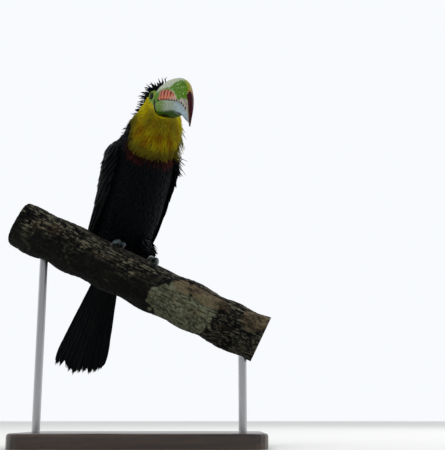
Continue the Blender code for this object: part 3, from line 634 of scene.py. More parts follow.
thighs = [tube_rings(hip + (end - hip) * step[:, None], radii, 24) for hip, end in THIGHS]
flesh = ring_mesh("flesh", trunk, *wing_lofts, neck, head, *thighs)
skin_points, skin_normals, skin_faces = cast_again(flesh, SKIN_VOXEL, 10)

# The bird's middle line, from the bill's base back through the neck to the tail's root.
HEAD_STEPS, NECK_STEPS, TRUNK_STEPS = 12, 16, 44
guide_head = np.linspace(2, -28, HEAD_STEPS)
guide_neck = np.linspace(1, 0, NECK_STEPS)
guide_trunk = np.linspace(68, -136, TRUNK_STEPS)
heading, neck_right, throat = neck_axes(np.maximum(guide_neck, 1e-6))
drop, swing = (curve_at(table, guide_trunk, 1) * MM for table in (RUMP_DROP, RUMP_SWING))
GUIDE = np.concatenate([
    head_point(guide_head * MM, 0, 0.004), neck_path(guide_neck), body_point(guide_trunk * MM, drop, swing),
])
GUIDE_LIE = unit(np.gradient(GUIDE, axis=0))
GUIDE_RIGHT = np.concatenate([
    np.tile(HEAD_RIGHT, (HEAD_STEPS, 1)), neck_right, np.tile(RIGHT, (TRUNK_STEPS, 1))])
GUIDE_FRONT = unit(np.cross(GUIDE_LIE, GUIDE_RIGHT))
below = np.concatenate([np.tile(-HEAD_UP, (HEAD_STEPS, 1)), throat, np.tile(BELLY, (TRUNK_STEPS, 1))])
GUIDE_FRONT = GUIDE_FRONT * np.sign((GUIDE_FRONT * below).sum(1))[:, None]
GUIDE_LENGTH = np.concatenate([[0], np.cumsum(np.linalg.norm(np.diff(GUIDE, axis=0), axis=1))])


def lie_place(points):
    """(metres from the bill's base along the bird's middle line, angle round it from throat and belly)."""
    near = np.concatenate([np.linalg.norm(part[:, None] - GUIDE[None], axis=2).argmin(1)
                           for part in np.array_split(points, max(1, len(points) // 4000))])
    away = points - GUIDE[near]
    run = GUIDE_LENGTH[near] + (away * GUIDE_LIE[near]).sum(1)
    return run, np.arctan2((away * GUIDE_RIGHT[near]).sum(1), (away * GUIDE_FRONT[near]).sum(1))


def cap_edge(run, degrees):
    """Angle at which the yellow of the face ends and the black nape begins, further round on the left."""
    right = np.interp(run / MM, (0, 10, 20, 30, 45, 70), (117, 116, 106, 101, 111, 126))
    return right + 12 * step_up(run / MM, 34, 56) * (degrees < 0)


EYES = {name: head_point(EYE_PLACE[0], side * EYE_PLACE[1], EYE_PLACE[2]) for name, side in SIDES.items()}
EYE_AXES = {name: HEAD_RIGHT * side * math.cos(EYE_TURN) + HEAD_FORWARD * math.sin(EYE_TURN)
            for name, side in SIDES.items()}


def from_eye(points):
    """Distance (mm) of each point from the nearer eye's axis, and 99 behind the eyes' middles."""
    least = np.full(len(points), 99.0)
    for name in SIDES:
        away = points - EYES[name]
        ahead = away @ EYE_AXES[name]
        off = np.linalg.norm(away - ahead[:, None] * EYE_AXES[name], axis=1) / MM
        least = np.where(ahead > 0, np.minimum(least, off), least)
    return least


def bare_face(forward, right, up):
    """1 on the bare skin round each eye and ahead of it to the gape, falling to 0 over a millimetre."""
    round_eye = np.sqrt(((forward + 10.0) / 8.4) ** 2 + ((up - 9.8) / 7.6) ** 2)
    lores = np.sqrt(((forward + 1.5) / 7.5) ** 2 + ((up - 5.0) / 8.5) ** 2)
    return step_up(-np.minimum(round_eye, lores), -1.05, -0.93) * (np.abs(right) > 8)


def raised(points):
    """1 where the plumage stands up in wet spikes, on crown and nape, and 0 on the sleek face and body."""
    run, angle = lie_place(points)
    behind = step_up(np.abs(np.degrees(angle)) - cap_edge(run, angle), -5, 7)
    return behind * step_up(run / MM, -1, 7) * step_up(-run / MM, -92, -72)


def coat_depth(points):
    """Depth of the plumage over the skin, in metres: thin on the face and nothing on bare skin."""
    forward, right, up = in_head(points)
    on_head = step_up(-np.linalg.norm(points - head_point(-0.022, 0, 0.002), axis=1), -0.040, -0.028)
    depth = COAT_DEPTH["body"] + (COAT_DEPTH["head"] - COAT_DEPTH["body"]) * on_head
    depth = depth + (COAT_DEPTH["face"] - depth) * step_up(forward, -18, -5) * on_head
    depth = depth + COAT_DEPTH["spikes"] * raised(points)
    depth = depth * step_up(-forward, 0.3, 2.0) ** on_head
    socket = 2.4 * step_up(-from_eye(points), -6.2, -4.6)
    return MM * (depth * (1 - bare_face(forward, right, up)) + 0.15 + socket)


skin_points = skin_points - skin_normals * coat_depth(skin_points)[:, None]

foot_tubes = []
for foot in SIDES:
    shank = shank_point(foot, np.array((0.0, 0.10, 0.20, 0.30, 0.42)))
    foot_tubes.append(tube_rings(shank, (0.0042, 0.0037, TARSUS_RADIUS, TARSUS_RADIUS, 0.0026), 20))
    for number, toe in enumerate(TOES):
        step = np.linspace(-0.05 - 0.02 * number, 1, 26)
        swell = 1 + 0.07 * np.cos(2 * np.pi * 2.6 * (step - 0.12)) - 0.24 * step_up(step, 0.7, 1.0)
        foot_tubes.append(tube_rings(toe_path(foot, toe, step), TOE_RADIUS * swell, 16))
foot_points, foot_normals, foot_faces = cast_again(ring_mesh("feet", *foot_tubes), FOOT_VOXEL, 5)
# Scutes: each toe and shank carries overlapping plates about 1.6 mm long, highest just before their edges.
nearest, phase = np.full(len(foot_points), 1.0), np.zeros(len(foot_points))
for foot in SIDES:
    lines = [toe_path(foot, toe, np.linspace(0, 1, 90)) for toe in TOES]
    lines.append(shank_point(foot, np.linspace(0, 0.42, 90)))
    for line in lines:
        gap = np.linalg.norm(foot_points[:, None] - line[None], axis=2)
        closest = gap.argmin(1)
        distance = np.concatenate([[0], np.cumsum(np.linalg.norm(np.diff(line, axis=0), axis=1))])[closest]
        better = gap.min(1) < nearest
        nearest = np.where(better, gap.min(1), nearest)
        phase = np.where(better, (distance / SCUTE_LENGTH) % 1, phase)
upper_side = step_up((foot_normals * unit(foot_points - PERCH_AXIS_POINT)).sum(1), -0.1, 0.5)
scute = phase**2 * upper_side
foot_points = foot_points + foot_normals * (SCUTE_HEIGHT * (scute - 0.3))[:, None]


def skin_side(forward, up):
    """How far out the head's own skin lies (mm) at places forward and up from the gape (mm)."""
    half, above, below = (curve_at(HEAD_SECTIONS, forward, column) for column in (1, 2, 3))
    return half * np.sqrt(np.maximum(0, 1 - (up / np.where(up > 0, above, below)) ** 2))


# Lids: a ring of skin round each eye, rolled in over the eyeball at its inner edge and sunk under the
# surrounding skin at its outer one, with fine folds running round it.
LID_PROFILE = np.array((  # out from the eye's axis, and along it from the eye's middle, mm
    (5.7, 2.4), (4.9, 3.7), (4.15, 4.85), (4.12, 5.22), (4.45, 5.52), (5.0, 5.62), (5.6, 5.44), (6.2, 5.58),
    (6.7, 5.50),
))
lid_grids = []
around = circle(72)[:, None]
for side in SIDES.values():
    out = np.concatenate([LID_PROFILE[:, 0], np.linspace(7.0, 8.6, 8), (8.2, 7.4, 6.4)])[None, :]
    ring = np.arange(out.shape[1])[None, :]
    folds = 0.10 * np.sin(2 * np.pi * out / 1.15 + 0.6 * np.sin(3 * around)) * step_up(out, 5.4, 6.6)
    height = np.concatenate([LID_PROFILE[:, 1], np.full(8, 5.4), (1.5, 0.0, 1.0)])[None, :] + folds
    along = out * 1.08 * np.cos(around)
    up = EYE_PLACE[2] / MM + out * np.sin(around) * (1 + 0.06 * np.cos(around))
    ahead = EYE_PLACE[0] / MM + math.cos(EYE_TURN) * along + math.sin(EYE_TURN) * height
    beside = EYE_PLACE[1] / MM + math.cos(EYE_TURN) * height - math.sin(EYE_TURN) * along
    flat_ahead = np.minimum(EYE_PLACE[0] / MM + along, -0.4)
    surround = skin_side(flat_ahead, up) - 0.05 - 1.4 * step_up(out, 6.9, 8.6) + folds * 0.5
    blend = step_up(out, 6.0, 7.8) * (ring < len(LID_PROFILE) + 8)
    blend = blend + (ring >= len(LID_PROFILE) + 8) * 0.35
    ahead = np.minimum(ahead + (flat_ahead - ahead) * blend, -0.3)
    beside = beside + (np.where(ring < len(LID_PROFILE) + 8, surround, beside) - beside) * blend
    lid_grids.append(head_point(ahead * MM, side * beside * MM, up * MM))


def palette(**codes):
    """Linear colours, as arrays, of named hex codes."""
    return {name: np.array(linear(code)[:3]) for name, code in codes.items()}


def mixed(base, paint, weight):
    """The base moved towards the paint by a weight from 0 to 1 at each place."""
    return base + (paint - base) * weight[..., None]


# The bright yellow is partly painted light on the cheeks, and the olive is partly painted shade under the
# bill.
PLUMAGE = palette(
    black="#02060A", yellow="#BDB00B", bright="#E2D408", ochre="#8A5A04", olive="#55521A", red="#46130A",
    vent="#8E1A10", white="#E4E1D4", bare="#74981A", rim="#6A861A", lore="#5C7C16", foot="#3A5054",
)


def bib_edge(angle):
    """Place along the spine (mm) of the bib's lower edge at an angle (degrees) from the breast's middle."""
    right = 56 + 4 * (np.minimum(angle, 80) / 45) ** 2 + 20 * step_up(angle, 46, 86)
    left = 56 + 4 * (angle / 45) ** 2 + 20 * (np.maximum(-angle - 45, 0) / 45) ** 1.3
    return np.where(angle > 0, right, left)


def on_thigh(points):
    """True on the feathered thighs, near the line from each hip to its shank."""
    near = np.zeros(len(points), bool)
    for hip, end in THIGHS:
        share = np.clip((points - hip) @ (end - hip) / ((end - hip) @ (end - hip)), 0.25, 1.3)
        near |= np.linalg.norm(points - hip - share[:, None] * (end - hip), axis=1) < THIGH_REACH
    return near


def plumage_colour(points, rng):
    """Linear colour of the plumage at points on the body: its markings, painted shade under the bill and
    painted light on the cheeks; rng mottles each a little.
    """
    run, angle = lie_place(points)
    spine, _, _ = in_body(points)
    degrees = np.degrees(angle)
    wander = rng.normal(0, 1, len(points))
    patchy = np.sin(points @ (310, 170, 90)) + np.sin(points @ (-120, 260, 330) + 1)
    edge = bib_edge(degrees)
    colour = np.tile(PLUMAGE["black"], (len(points), 1))

    def over(name, weight):
        return mixed(colour, PLUMAGE[name], np.clip(weight, 0, 1))

    red = (step_up(spine + 1.2 * wander, edge - 13.5, edge - 7)
           * step_up(degrees, -104, -84) * step_up(-degrees, -74, -52))
    colour = over("red", red * (0.24 + 0.46 * step_up(np.abs(degrees - 4), 12, 36))
                  * (0.8 + 0.2 * np.tanh(wander)) * (1 - 0.45 * step_up(degrees, 10, 50)))
    in_front = step_up(cap_edge(run, degrees) - np.abs(degrees) + 1.5 * wander, -3, 3)
    yellow = step_up(spine + 0.8 * wander, edge - 1.5, edge + 1.5) * in_front
    colour = over("yellow", yellow)
    # Partly painted light: the yellow is brightened towards the sides of the face, partly the cheeks' own
    # colour and partly light falling on them.
    cheek = step_up(np.abs(degrees), 40, 64) * step_up(-run / MM, -72, -44)
    colour = over("bright", yellow * cheek * (0.8 + 0.2 * patchy))
    low = (step_up(-(spine + 3 * wander), -(edge + 62), -(edge + 34))
           * step_up(-np.abs(degrees - 10), -84, -44))
    colour = over("ochre", yellow * low * (0.55 + 0.20 * np.tanh(wander) + 0.20 * patchy))
    # Painted shade: under the bill and down the middle of the throat the yellow is darkened to olive, as in
    # shade.
    shaded = step_up(run / MM, 2, 12) * step_up(-run / MM, -88, -46) * step_up(-np.abs(degrees), -64, -34)
    colour = over("olive", yellow * shaded * (0.46 + 0.15 * np.tanh(wander) - 0.12 * patchy))
    colour = over("olive", yellow * step_up(-(spine + 2 * wander), -(edge + 19), -(edge + 3)) * 0.84)
    rump = step_up(-spine, 84, 90) * step_up(spine, -128, -122) * step_up(np.abs(degrees), 118, 128)
    body_side = ~on_thigh(points)
    colour = over("white", rump * body_side)
    vent = step_up(-spine, 80, 88) * step_up(spine, -132, -126) * step_up(-np.abs(degrees), -74, -64)
    return over("vent", vent * body_side)


first_foot, first_lid = len(skin_points), len(skin_points) + len(foot_points)
all_points = np.concatenate([skin_points, foot_points])
all_faces = list(skin_faces) + moved_on(foot_faces, first_foot)
for grid in lid_grids:
    ring_points = grid.reshape(-1, 3)
    all_faces += moved_on(turned_out(ring_points, grid_quads(*grid.shape[:2], closed=True)), len(all_points))
    all_points = np.concatenate([all_points, ring_points])
skin_mesh = bpy.data.meshes.new("skin")
skin_mesh.from_pydata(all_points.tolist(), [], all_faces)
skin_mesh.shade_smooth()
rng = np.random.default_rng(11)
forward, right, up = in_head(all_points)
bare = bare_face(forward, right, up)
bare[first_lid:] = 1
eye_distance = from_eye(all_points)
tint = plumage_colour(all_points, rng)
bare_tint = mixed(PLUMAGE["lore"], PLUMAGE["bare"], step_up(-forward + 0.5 * up, 5, 11))
bare_tint = mixed(bare_tint, PLUMAGE["rim"], step_up(-eye_distance, -7.2, -5.6))
bare_tint = bare_tint * (1 - 0.93 * step_up(-eye_distance, -4.95, -4.7))[:, None]
tint = mixed(tint, bare_tint, bare)
# Painted shade: the left foot, further along the branch, is painted half as bright as the right, as if in
# shade.
shaded_left_foot = step_up((foot_points - PERCH_AXIS_POINT) @ PERCH_ALONG, -0.02, -0.01)
tint[first_foot:first_lid] = PLUMAGE["foot"] * ((0.62 + 0.55 * scute) * (1 - 0.5 * shaded_left_foot))[:, None]
store(skin_mesh, "Plumage", "color", tint)


def skin_material(name, mottle, dark, light, gloss, grain, strength, height):
    """A skin's own colour, mottled from dark to light by noise of one scale and pitted by finer cells."""
    made, tree, shader = new_material(name)
    place = add(tree, "TexCoord", "Object")
    own = add(tree, "Attribute", "Color", attribute_name="Plumage")
    cloud = add(tree, "TexNoise", "Fac", {"Vector": place, "Scale": mottle, "Detail": 3.0})
    shade = add(tree, "MapRange", "Result", {
        "Value": cloud, "From Min": 0.3, "From Max": 0.7, "To Min": dark, "To Max": light})
    colour = add(tree, "Mix", "Result", {"Factor": 1.0, "A": own, "B": shade},
                 data_type="RGBA", blend_type="MULTIPLY")
    cells = add(tree, "TexVoronoi", "Distance", {"Vector": place, "Scale": grain})
    relief = add(tree, "Bump", "Normal", {"Height": cells, "Strength": strength, "Distance": height})
    feed(shader, {"Base Color": colour, "Normal": relief, **gloss})
    return made


# Bare skin: soft and slightly moist, so it has a low sheen, with fine pores about 0.6 mm apart. The skin of
# the feet is scaled and dry, with darker creases between its plates.
living_skin = skin_material("living skin", 260.0, 0.78, 1.14, {"Roughness": 0.46, "Specular IOR Level": 0.12},
                            1600.0, 0.35, 0.00015)
scaled_skin = skin_material("scaled foot skin", 420.0, 0.7, 1.25, {"Roughness": 0.5}, 1100.0, 0.4, 0.0002)

skin = link("skin", skin_mesh, living_skin, scaled_skin)
which = np.zeros(len(all_faces), np.int32)
which[len(skin_faces) : len(skin_faces) + len(foot_faces)] = 1
skin_mesh.polygons.foreach_set("material_index", which)
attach(skin, "root")
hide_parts("head", "neck", "trunk", "wing_left", "wing_right", "thigh_left", "thigh_right",
            "foot_left", "foot_right")

# ---- contour feathers -------------------------------------------------------------------------------
# The small feathers that cover head, neck and body. Each grows from the skin, lies back along the body over
# the next ones and rises to the top of the coat at its tip. All are closed blades, and the wet spikes on
# crown, nape and shoulder are thicker bunches that stand out from the coat.

TUFT = np.array(((-1.0, 0.0), (0.0, 1.0), (1.0, 0.0)))  # across and up, round the cross-section
VANE = np.array(((-1.0, 0.0), (-0.5, 0.7), (0.0, 1.0), (0.5, 0.7), (1.0, 0.0), (0.0, -0.4)))
BAKE_PATCH = 0.003
LIE_BLUR = 0.012  # m over which the lie of the plumage blends
BLADE_BOW = 0.25  # how far a blade's edges droop, as a share of its half width
BARB_SPACING = 0.8  # mm; real barbs are about 0.3 mm apart, and are drawn coarser so that they show

step = np.linspace(0.4, 1.0, 8)[:, None]
FLOW = np.concatenate([GUIDE] + [hip + (end - hip) * step for hip, end in THIGHS])
FLOW_LIE = np.concatenate([GUIDE_LIE] + [np.tile(unit(end - hip), (8, 1)) for hip, end in THIGHS])
SKIN_TREE = BVHTree.FromPolygons(skin_points.tolist(), skin_faces)
SKIN_QUADS = np.array([face if len(face) == 4 else (*face, face[0]) for face in skin_faces])
FACE_UP = unit(skin_normals[SKIN_QUADS].mean(1))


def on_skin(points):
    """The nearest places on the skin, and its smooth outward directions there."""
    found = [SKIN_TREE.find_nearest(point) for point in points.tolist()]
    return np.array([hit[0] for hit in found]), FACE_UP[[hit[2] for hit in found]]


def lie_at(points, normals):
    """Direction of the plumage's lie: the middle line's heading near each point, laid flat on the skin."""
    square = ((points[:, None] - FLOW[None]) ** 2).sum(2)
    weight = np.exp(-(square - square.min(1, keepdims=True)) / (2 * LIE_BLUR**2))
    flow = weight @ FLOW_LIE
    return unit(flow - normals * (flow * normals).sum(1, keepdims=True))


def spread(spacing, keep, rng):
    """Roots about a spacing apart over the skin, where keep says so: random points, one kept in each cell.

    Each random point is a corner of a skin face plus random shares of two of its sides.
    """
    a, b, d = (skin_points[SKIN_QUADS[:, i]] for i in (0, 1, 3))
    area = np.linalg.norm(np.cross(b - a, d - a), axis=1)
    count = int(area.sum() / spacing**2 * 5)
    face = rng.choice(len(area), count, p=area / area.sum())
    s, t = rng.random((2, count, 1))
    points = a[face] + (b[face] - a[face]) * s + (d[face] - a[face]) * t
    cell = np.floor(points / spacing + 50).astype(np.int64)
    _, first = np.unique(cell @ np.array((1, 1000, 1000000)), return_index=True)
    first = np.sort(first)
    points, normals = points[first], FACE_UP[face[first]]
    run, angle = lie_place(points)
    chosen = keep(points, in_body(points)[0], run / MM, np.degrees(angle))
    return points[chosen], normals[chosen]


def laid_back(roots, normals, length, stations, swerve, loose):
    """Places and outward directions along feathers that step back over the skin, and hang free at the end.

    The last few steps, as many as loose says, go straight on with a little droop and leave the skin.
    """
    places, ups, here, up = [roots], [normals], roots, normals
    for number in range(stations - 1):
        stride = (length / (stations - 1))[:, None]
        if number < stations - 1 - loose:
            lie = lie_at(here, up)
            heading = lie * np.cos(swerve)[:, None] + np.cross(up, lie) * np.sin(swerve)[:, None]
            here, up = on_skin(here + heading * stride)
        else:
            heading = unit(heading - 0.10 * SKY)
            here = here + heading * stride
        places.append(here)
        ups.append(up)
    return np.stack(places, 1), np.stack(ups, 1)


def gathered(middle, size, pull):
    """Middle lines whose tips draw together in wet clumps: each leans to the tip of the first in its cell."""
    cell = np.floor(middle[:, 0] / size + 50).astype(np.int64) @ np.array((1, 1000, 1000000))
    _, first, which = np.unique(cell, return_index=True, return_inverse=True)
    lean = middle[first[which.ravel()], -1] - middle[:, -1]
    t = np.linspace(0, 1, middle.shape[1])
    return middle + (t**1.6 * pull)[None, :, None] * lean[:, None]


def blade_rings(middle, ups, half, thick, section):
    """Rings of points round each feather's middle line, of a half width and thickness at each station.

    The blade bows down towards its edges by a share of its half width.
    """
    heading = unit(np.gradient(middle, axis=1))
    side = unit(np.cross(ups, heading))
    up = np.cross(heading, side)
    across, height = section[:, 0], section[:, 1]
    lift = height * thick[..., None] - BLADE_BOW * across**2 * half[..., None]
    aside = side[:, :, None] * (across * half[..., None])[..., None]
    return middle[:, :, None] + aside + up[:, :, None] * lift[..., None]


def fill(mesh, points, corners, starts):
    """Fills a mesh from its points, the corners of all its faces in a row, and where each face starts."""
    mesh.vertices.add(len(points))
    mesh.vertices.foreach_set("co", np.asarray(points, np.float32).ravel())
    mesh.loops.add(len(corners))
    mesh.loops.foreach_set("vertex_index", np.asarray(corners, np.int32))
    mesh.polygons.add(len(starts))
    mesh.polygons.foreach_set("loop_start", np.asarray(starts, np.int32))
    mesh.update(calc_edges=True)
    mesh.shade_smooth()


def feather_object(name, rings, across, colour, size, width, bake_place, rng, *materials):
    """One mesh of closed blades from rings of points, feathers by stations by round the section.

    colour is linear, one to a feather or one to each station; size and width are each feather's length and
    half width in mm; bake_place is its root's place on the unwrapped skin.
    """
    count, stations, around = rings.shape[:3]
    index = np.arange(count * stations * around).reshape(count, stations, around)
    turned = np.roll(index, -1, axis=2)
    quads = np.stack([index[:, :-1], turned[:, :-1], turned[:, 1:], index[:, 1:]], -1)
    corners = np.concatenate([quads.ravel(), index[:, 0, ::-1].ravel(), index[:, -1].ravel()])
    points = rings.reshape(-1, 3)
    first = quads[: min(count, 300)].reshape(-1, 4)
    a, b, c, d = (points[first[:, i]] for i in range(4))
    inside_out = (a * (np.cross(b, c) + np.cross(c, d))).sum() < 0
    quad_count, cap_count = quads.size // 4, 2 * count
    starts = np.concatenate([np.arange(quad_count) * 4, quad_count * 4 + np.arange(cap_count) * around])

    step = np.linspace(0, 1, stations)
    loop = np.arange(around + 1) / around
    u = np.stack([loop[:-1], loop[1:], loop[1:], loop[:-1]], -1)
    v = np.stack([step[:-1], step[:-1], step[1:], step[1:]], -1)
    patch = np.stack(np.broadcast_arrays(u[None, :, :], v[:, None, :]), -1)
    wide = (np.append(across, across[0]) + 1) / 2
    w = np.stack([wide[:-1], wide[1:], wide[1:], wide[:-1]], -1)
    vane = np.stack(np.broadcast_arrays(w[None, :, :], v[:, None, :]), -1)
    turn = 2 * np.pi * np.arange(around) / around
    cap = np.stack([0.5 + 0.4 * np.cos(turn), 0.03 + 0.02 * np.sin(turn)], -1)
    place = np.asarray(bake_place)[:, None, :]
    whole = place + BAKE_PATCH * patch.reshape(1, -1, 2)
    low, high = place + BAKE_PATCH * cap[None, ::-1], place + BAKE_PATCH * (cap[None] + (0, 0.92))
    bake = np.concatenate([whole.reshape(-1, 2), low.reshape(-1, 2), high.reshape(-1, 2)])
    ends = np.tile(np.array((0.5, 0.0)), (count * around, 1))
    vanes = np.concatenate([np.tile(vane.reshape(-1, 2), (count, 1)), ends, ends + (0, 1)])
    if inside_out:
        flipped = np.arange(quad_count * 4).reshape(-1, 4)[:, ::-1].ravel()
        flipped_caps = np.arange(cap_count * around).reshape(-1, around)[:, ::-1].ravel()
        order = np.concatenate([flipped, quad_count * 4 + flipped_caps])
        corners, bake, vanes = corners[order], bake[order], vanes[order]
    mesh = bpy.data.meshes.new(name)
    fill(mesh, points, corners, starts)
    for label, values in (("OFBake", bake), ("Vane", vanes)):
        mesh.uv_layers.new(name=label).data.foreach_set("uv", values.astype(np.float32).ravel())
    colour = np.asarray(colour)
    colour = np.broadcast_to(colour[:, None] if colour.ndim == 2 else colour, (count, stations, 3))
    store(mesh, "Plumage", "color", np.repeat(colour.reshape(-1, 3), around, 0))
    for label, values in (("Tone", rng.random(count)), ("Length", np.broadcast_to(size, (count,))),
                          ("Width", np.broadcast_to(width, (count,)))):
        store(mesh, label, "value", np.repeat(values, stations * around))
    made = link(name, mesh, *materials)
    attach(made, "root")
    return made


def body_unwrap(points):
    """Place of each point on the bird's skin unrolled round its middle line, inside the unit square."""
    run, angle = lie_place(points)
    total = GUIDE_LENGTH[-1]
    u = (angle / (2 * np.pi) + 0.5) * 0.994
    return np.stack([u, np.clip((run / total) * 0.94 + 0.03, 0.001, 0.995)], -1)


def outline(t, blunt, point=0.6):
    """Half width along a feather as a share of its widest: full by a third of the way, then round or pointed.

    It is sqrt(min(1, 0.25 + t / 0.4)) times (1 - t ** blunt) ** point, plus a little at the tip.
    """
    return np.sqrt(np.minimum(1, 0.25 + t / 0.4)) * np.maximum(1 - t**blunt, 0) ** point + 0.03


def coat(name, keep, spacing, length, half_width, seed, section=TUFT, stations=5, blunt=1.6, stand=0.0,
         swerve=8.0, clump=0.0, pull=0.0, top=(0.75, 1.0), colour_at=0.8, thickness=0.16, point=0.6, loose=0,
         tint=None):
    """A patch of plumage over the skin where keep says so, all in mm and degrees.

    keep is given the roots' points, their place along the spine, their run from the bill and their angle.
    Each feather rises from its root to a share of the coat's depth between the two tops, plus its length
    times the sine of the angle at which it stands out, which may be a function of run and angle. Its colour
    comes from the markings, with their painted shade and light, at a share colour_at of its way, unless tint
    names one.
    """
    rng = np.random.default_rng(seed)
    roots, normals = spread(spacing * MM, keep, rng)
    count = len(roots)
    run, angle = lie_place(roots)
    if callable(stand):
        stand = stand(run / MM, np.degrees(angle))
    size = rng.uniform(*length, count) * MM
    turn = np.radians(rng.normal(0, swerve, count))
    standing = np.radians(np.clip(rng.normal(stand, 0.22 * np.asarray(stand) + 1e-6, count), 0, 80))
    middle, ups = laid_back(roots, normals, size * np.cos(standing), stations, turn, loose)
    t = np.linspace(0, 1, stations)
    rise = coat_depth(roots) * rng.uniform(*top, count)
    height = rise[:, None] * t**0.8 + (size * np.sin(standing))[:, None] * t**1.3 - 0.0003 * (1 - t)
    middle = middle + ups * height[..., None]
    if clump:
        middle = gathered(middle, clump * MM, pull)
    half = rng.uniform(*half_width, count)[:, None] * MM * outline(t, blunt, point)
    thick = np.full((count, stations), thickness * MM) * (1 - 0.6 * t)
    colour = plumage_colour(middle[:, 0] + (middle[:, -1] - middle[:, 0]) * colour_at, rng)
    if tint:
        colour = PLUMAGE[tint] * rng.uniform(0.7, 1.3, (count, 1))
    rings = blade_rings(middle, ups, half, thick, section)
    return feather_object(name, rings, section[:, 0], colour, size / MM, np.mean(half_width),
                          body_unwrap(roots), rng, feather_keratin)


def keratin_material(name, barb_spacing, rib_height, edge_highlight):
    """Material of a feather: its own colour, combed by barbs slanting out and back from the shaft, with any
    painted edge highlight.
    """
    made, tree, shader = new_material(name)
    own = add(tree, "Attribute", "Color", attribute_name="Plumage")
    tone = add(tree, "Attribute", "Fac", attribute_name="Tone")
    size = add(tree, "Attribute", "Fac", attribute_name="Length")
    width = add(tree, "Attribute", "Fac", attribute_name="Width")
    vane = add(tree, "UVMap", "UV", uv_map="Vane")
    across, back = (add(tree, "SeparateXYZ", axis, {"Vector": vane}) for axis in "XY")
    off = add(tree, "Math", "Value", {0: across, 1: 0.5}, operation="SUBTRACT")
    off = add(tree, "Math", "Value", {0: off}, operation="ABSOLUTE")
    slant = add(tree, "Math", "Value", {0: off, 1: width}, operation="MULTIPLY")
    slant = add(tree, "Math", "Value", {0: slant, 1: -2.6}, operation="MULTIPLY")
    down = add(tree, "Math", "Value", {0: back, 1: size, 2: slant}, operation="MULTIPLY_ADD")
    down = add(tree, "Math", "Value", {0: tone, 1: 7.0, 2: down}, operation="MULTIPLY_ADD")
    wave = add(tree, "Math", "Value", {0: down, 1: 2 * math.pi / barb_spacing}, operation="MULTIPLY")
    wave = add(tree, "Math", "Value", {0: wave}, operation="SINE")
    shaft = add(tree, "MapRange", "Result", {
        "Value": off, "From Min": 0.02, "From Max": 0.05, "To Min": 1.0, "To Max": 0.0})
    shade = add(tree, "MapRange", "Result", {
        "Value": wave, "From Min": -1.0, "From Max": 1.0, "To Min": 0.84, "To Max": 1.08})
    fade = add(tree, "MapRange", "Result", {
        "Value": back, "From Min": 0.15, "From Max": 0.75, "To Min": 0.72, "To Max": 1.0})
    each = add(tree, "MapRange", "Result", {"Value": tone, "To Min": 0.80, "To Max": 1.18})
    shade = add(tree, "Math", "Value", {0: shade, 1: fade}, operation="MULTIPLY")
    shade = add(tree, "Math", "Value", {0: shade, 1: each}, operation="MULTIPLY")
    colour = add(tree, "Mix", "Result", {"Factor": 1.0, "A": own, "B": shade},
                 data_type="RGBA", blend_type="MULTIPLY")
    # Painted highlight: the outermost edges of the vane are lightened towards grey, where light would catch
    # them.
    edge = add(tree, "MapRange", "Result", {
        "Value": off, "From Min": 0.455, "From Max": 0.49, "To Min": 0.0, "To Max": edge_highlight})
    colour = add(tree, "Mix", "Result", {"Factor": edge, "A": colour, "B": linear("#5A5650")},
                 data_type="RGBA")
    rib = add(tree, "Math", "Value", {0: shaft, 1: 1.2, 2: wave}, operation="MULTIPLY_ADD")
    relief = add(tree, "Bump", "Normal", {"Height": rib, "Strength": 0.4, "Distance": rib_height})
    feed(shader, {"Base Color": colour, "Roughness": 0.52, "Specular IOR Level": 0.055, "Normal": relief})
    return made


# Feather keratin: matt to satin, its colour held in the feather itself. The barbs catch light as combed
# streaks, darker towards the covered root. Stiff feathers of wing and tail carry a painted highlight along
# their edges: a grey line that stands in for the light they catch there.
feather_keratin = keratin_material("feather keratin", BARB_SPACING, 0.00012, 0.0)
edge_lit_keratin = keratin_material("flight feather with painted edge light", 1.1, 0.00020, 0.45)


def feathered(points):
    """True off the bare skin of the face and off the bill's base."""
    forward, right, up = in_head(points)
    return (bare_face(forward, right, up) < 0.4) & (forward < -0.6)


def in_yellow(run, angle):
    """True in front of the black cap and nape."""
    return np.abs(angle) < cap_edge(run * MM, angle)


def on_bib(spine, run, angle):
    """True on the yellow bib, above its lower edge."""
    return in_yellow(run, angle) & (spine > bib_edge(angle) + 3)


def under_wing(spine, angle):
    """True where a folded wing covers the body, so that nothing grows to be seen."""
    lead, top = curve_at(WING_SECTIONS, spine, 4), curve_at(WING_SECTIONS, spine, 5)
    return (spine > -96) & (spine < 56) & (np.abs(angle) > lead + 14) & (np.abs(angle) < top - 12)


coat("coat_face", lambda p, s, run, a: feathered(p) & (run < 36) & in_yellow(run, a),
     1.25, (3.0, 4.6), (0.45, 0.7), 21, swerve=7, blunt=1.8, thickness=0.12)
coat("coat_throat", lambda p, s, run, a: feathered(p) & (run >= 34) & on_bib(s, run, a),
     1.75, (8.0, 11.5), (0.6, 0.95), 22, stations=6, swerve=9, clump=3.4, pull=0.40, top=(0.7, 1.2),
     stand=lambda run, a: np.where(a < -60, 13, 0.5))
coat("coat_bib_fringe",
     lambda p, s, run, a: in_yellow(run, a) & (s > bib_edge(a) + 5) & (s < bib_edge(a) + 17) & (run > 34),
     2.1, (11.0, 17.0), (0.5, 0.85), 23, stations=7, swerve=14, stand=7, clump=5.0, pull=0.55,
     colour_at=0.9, point=0.8)
coat("coat_cap", lambda p, s, run, a: (p[:, 2] > 0.36) & ~in_yellow(run, a) & feathered(p) & (s > 62),
     1.8, (4.5, 7.0), (0.7, 1.1), 24, stations=5, swerve=10, stand=3, top=(0.3, 0.5), tint="black")
coat("coat_crown_spikes", lambda p, s, run, a: ~in_yellow(run + 1, a) & feathered(p) & (run < 34),
     4.6, (8.5, 13.5), (1.2, 1.9), 25, stations=7, swerve=15, thickness=1.5, blunt=1.0, point=0.75,
     stand=lambda run, a: np.interp(run, (0, 25), (50, 46)) * np.where(a < -60, 0.45, 1), tint="black")
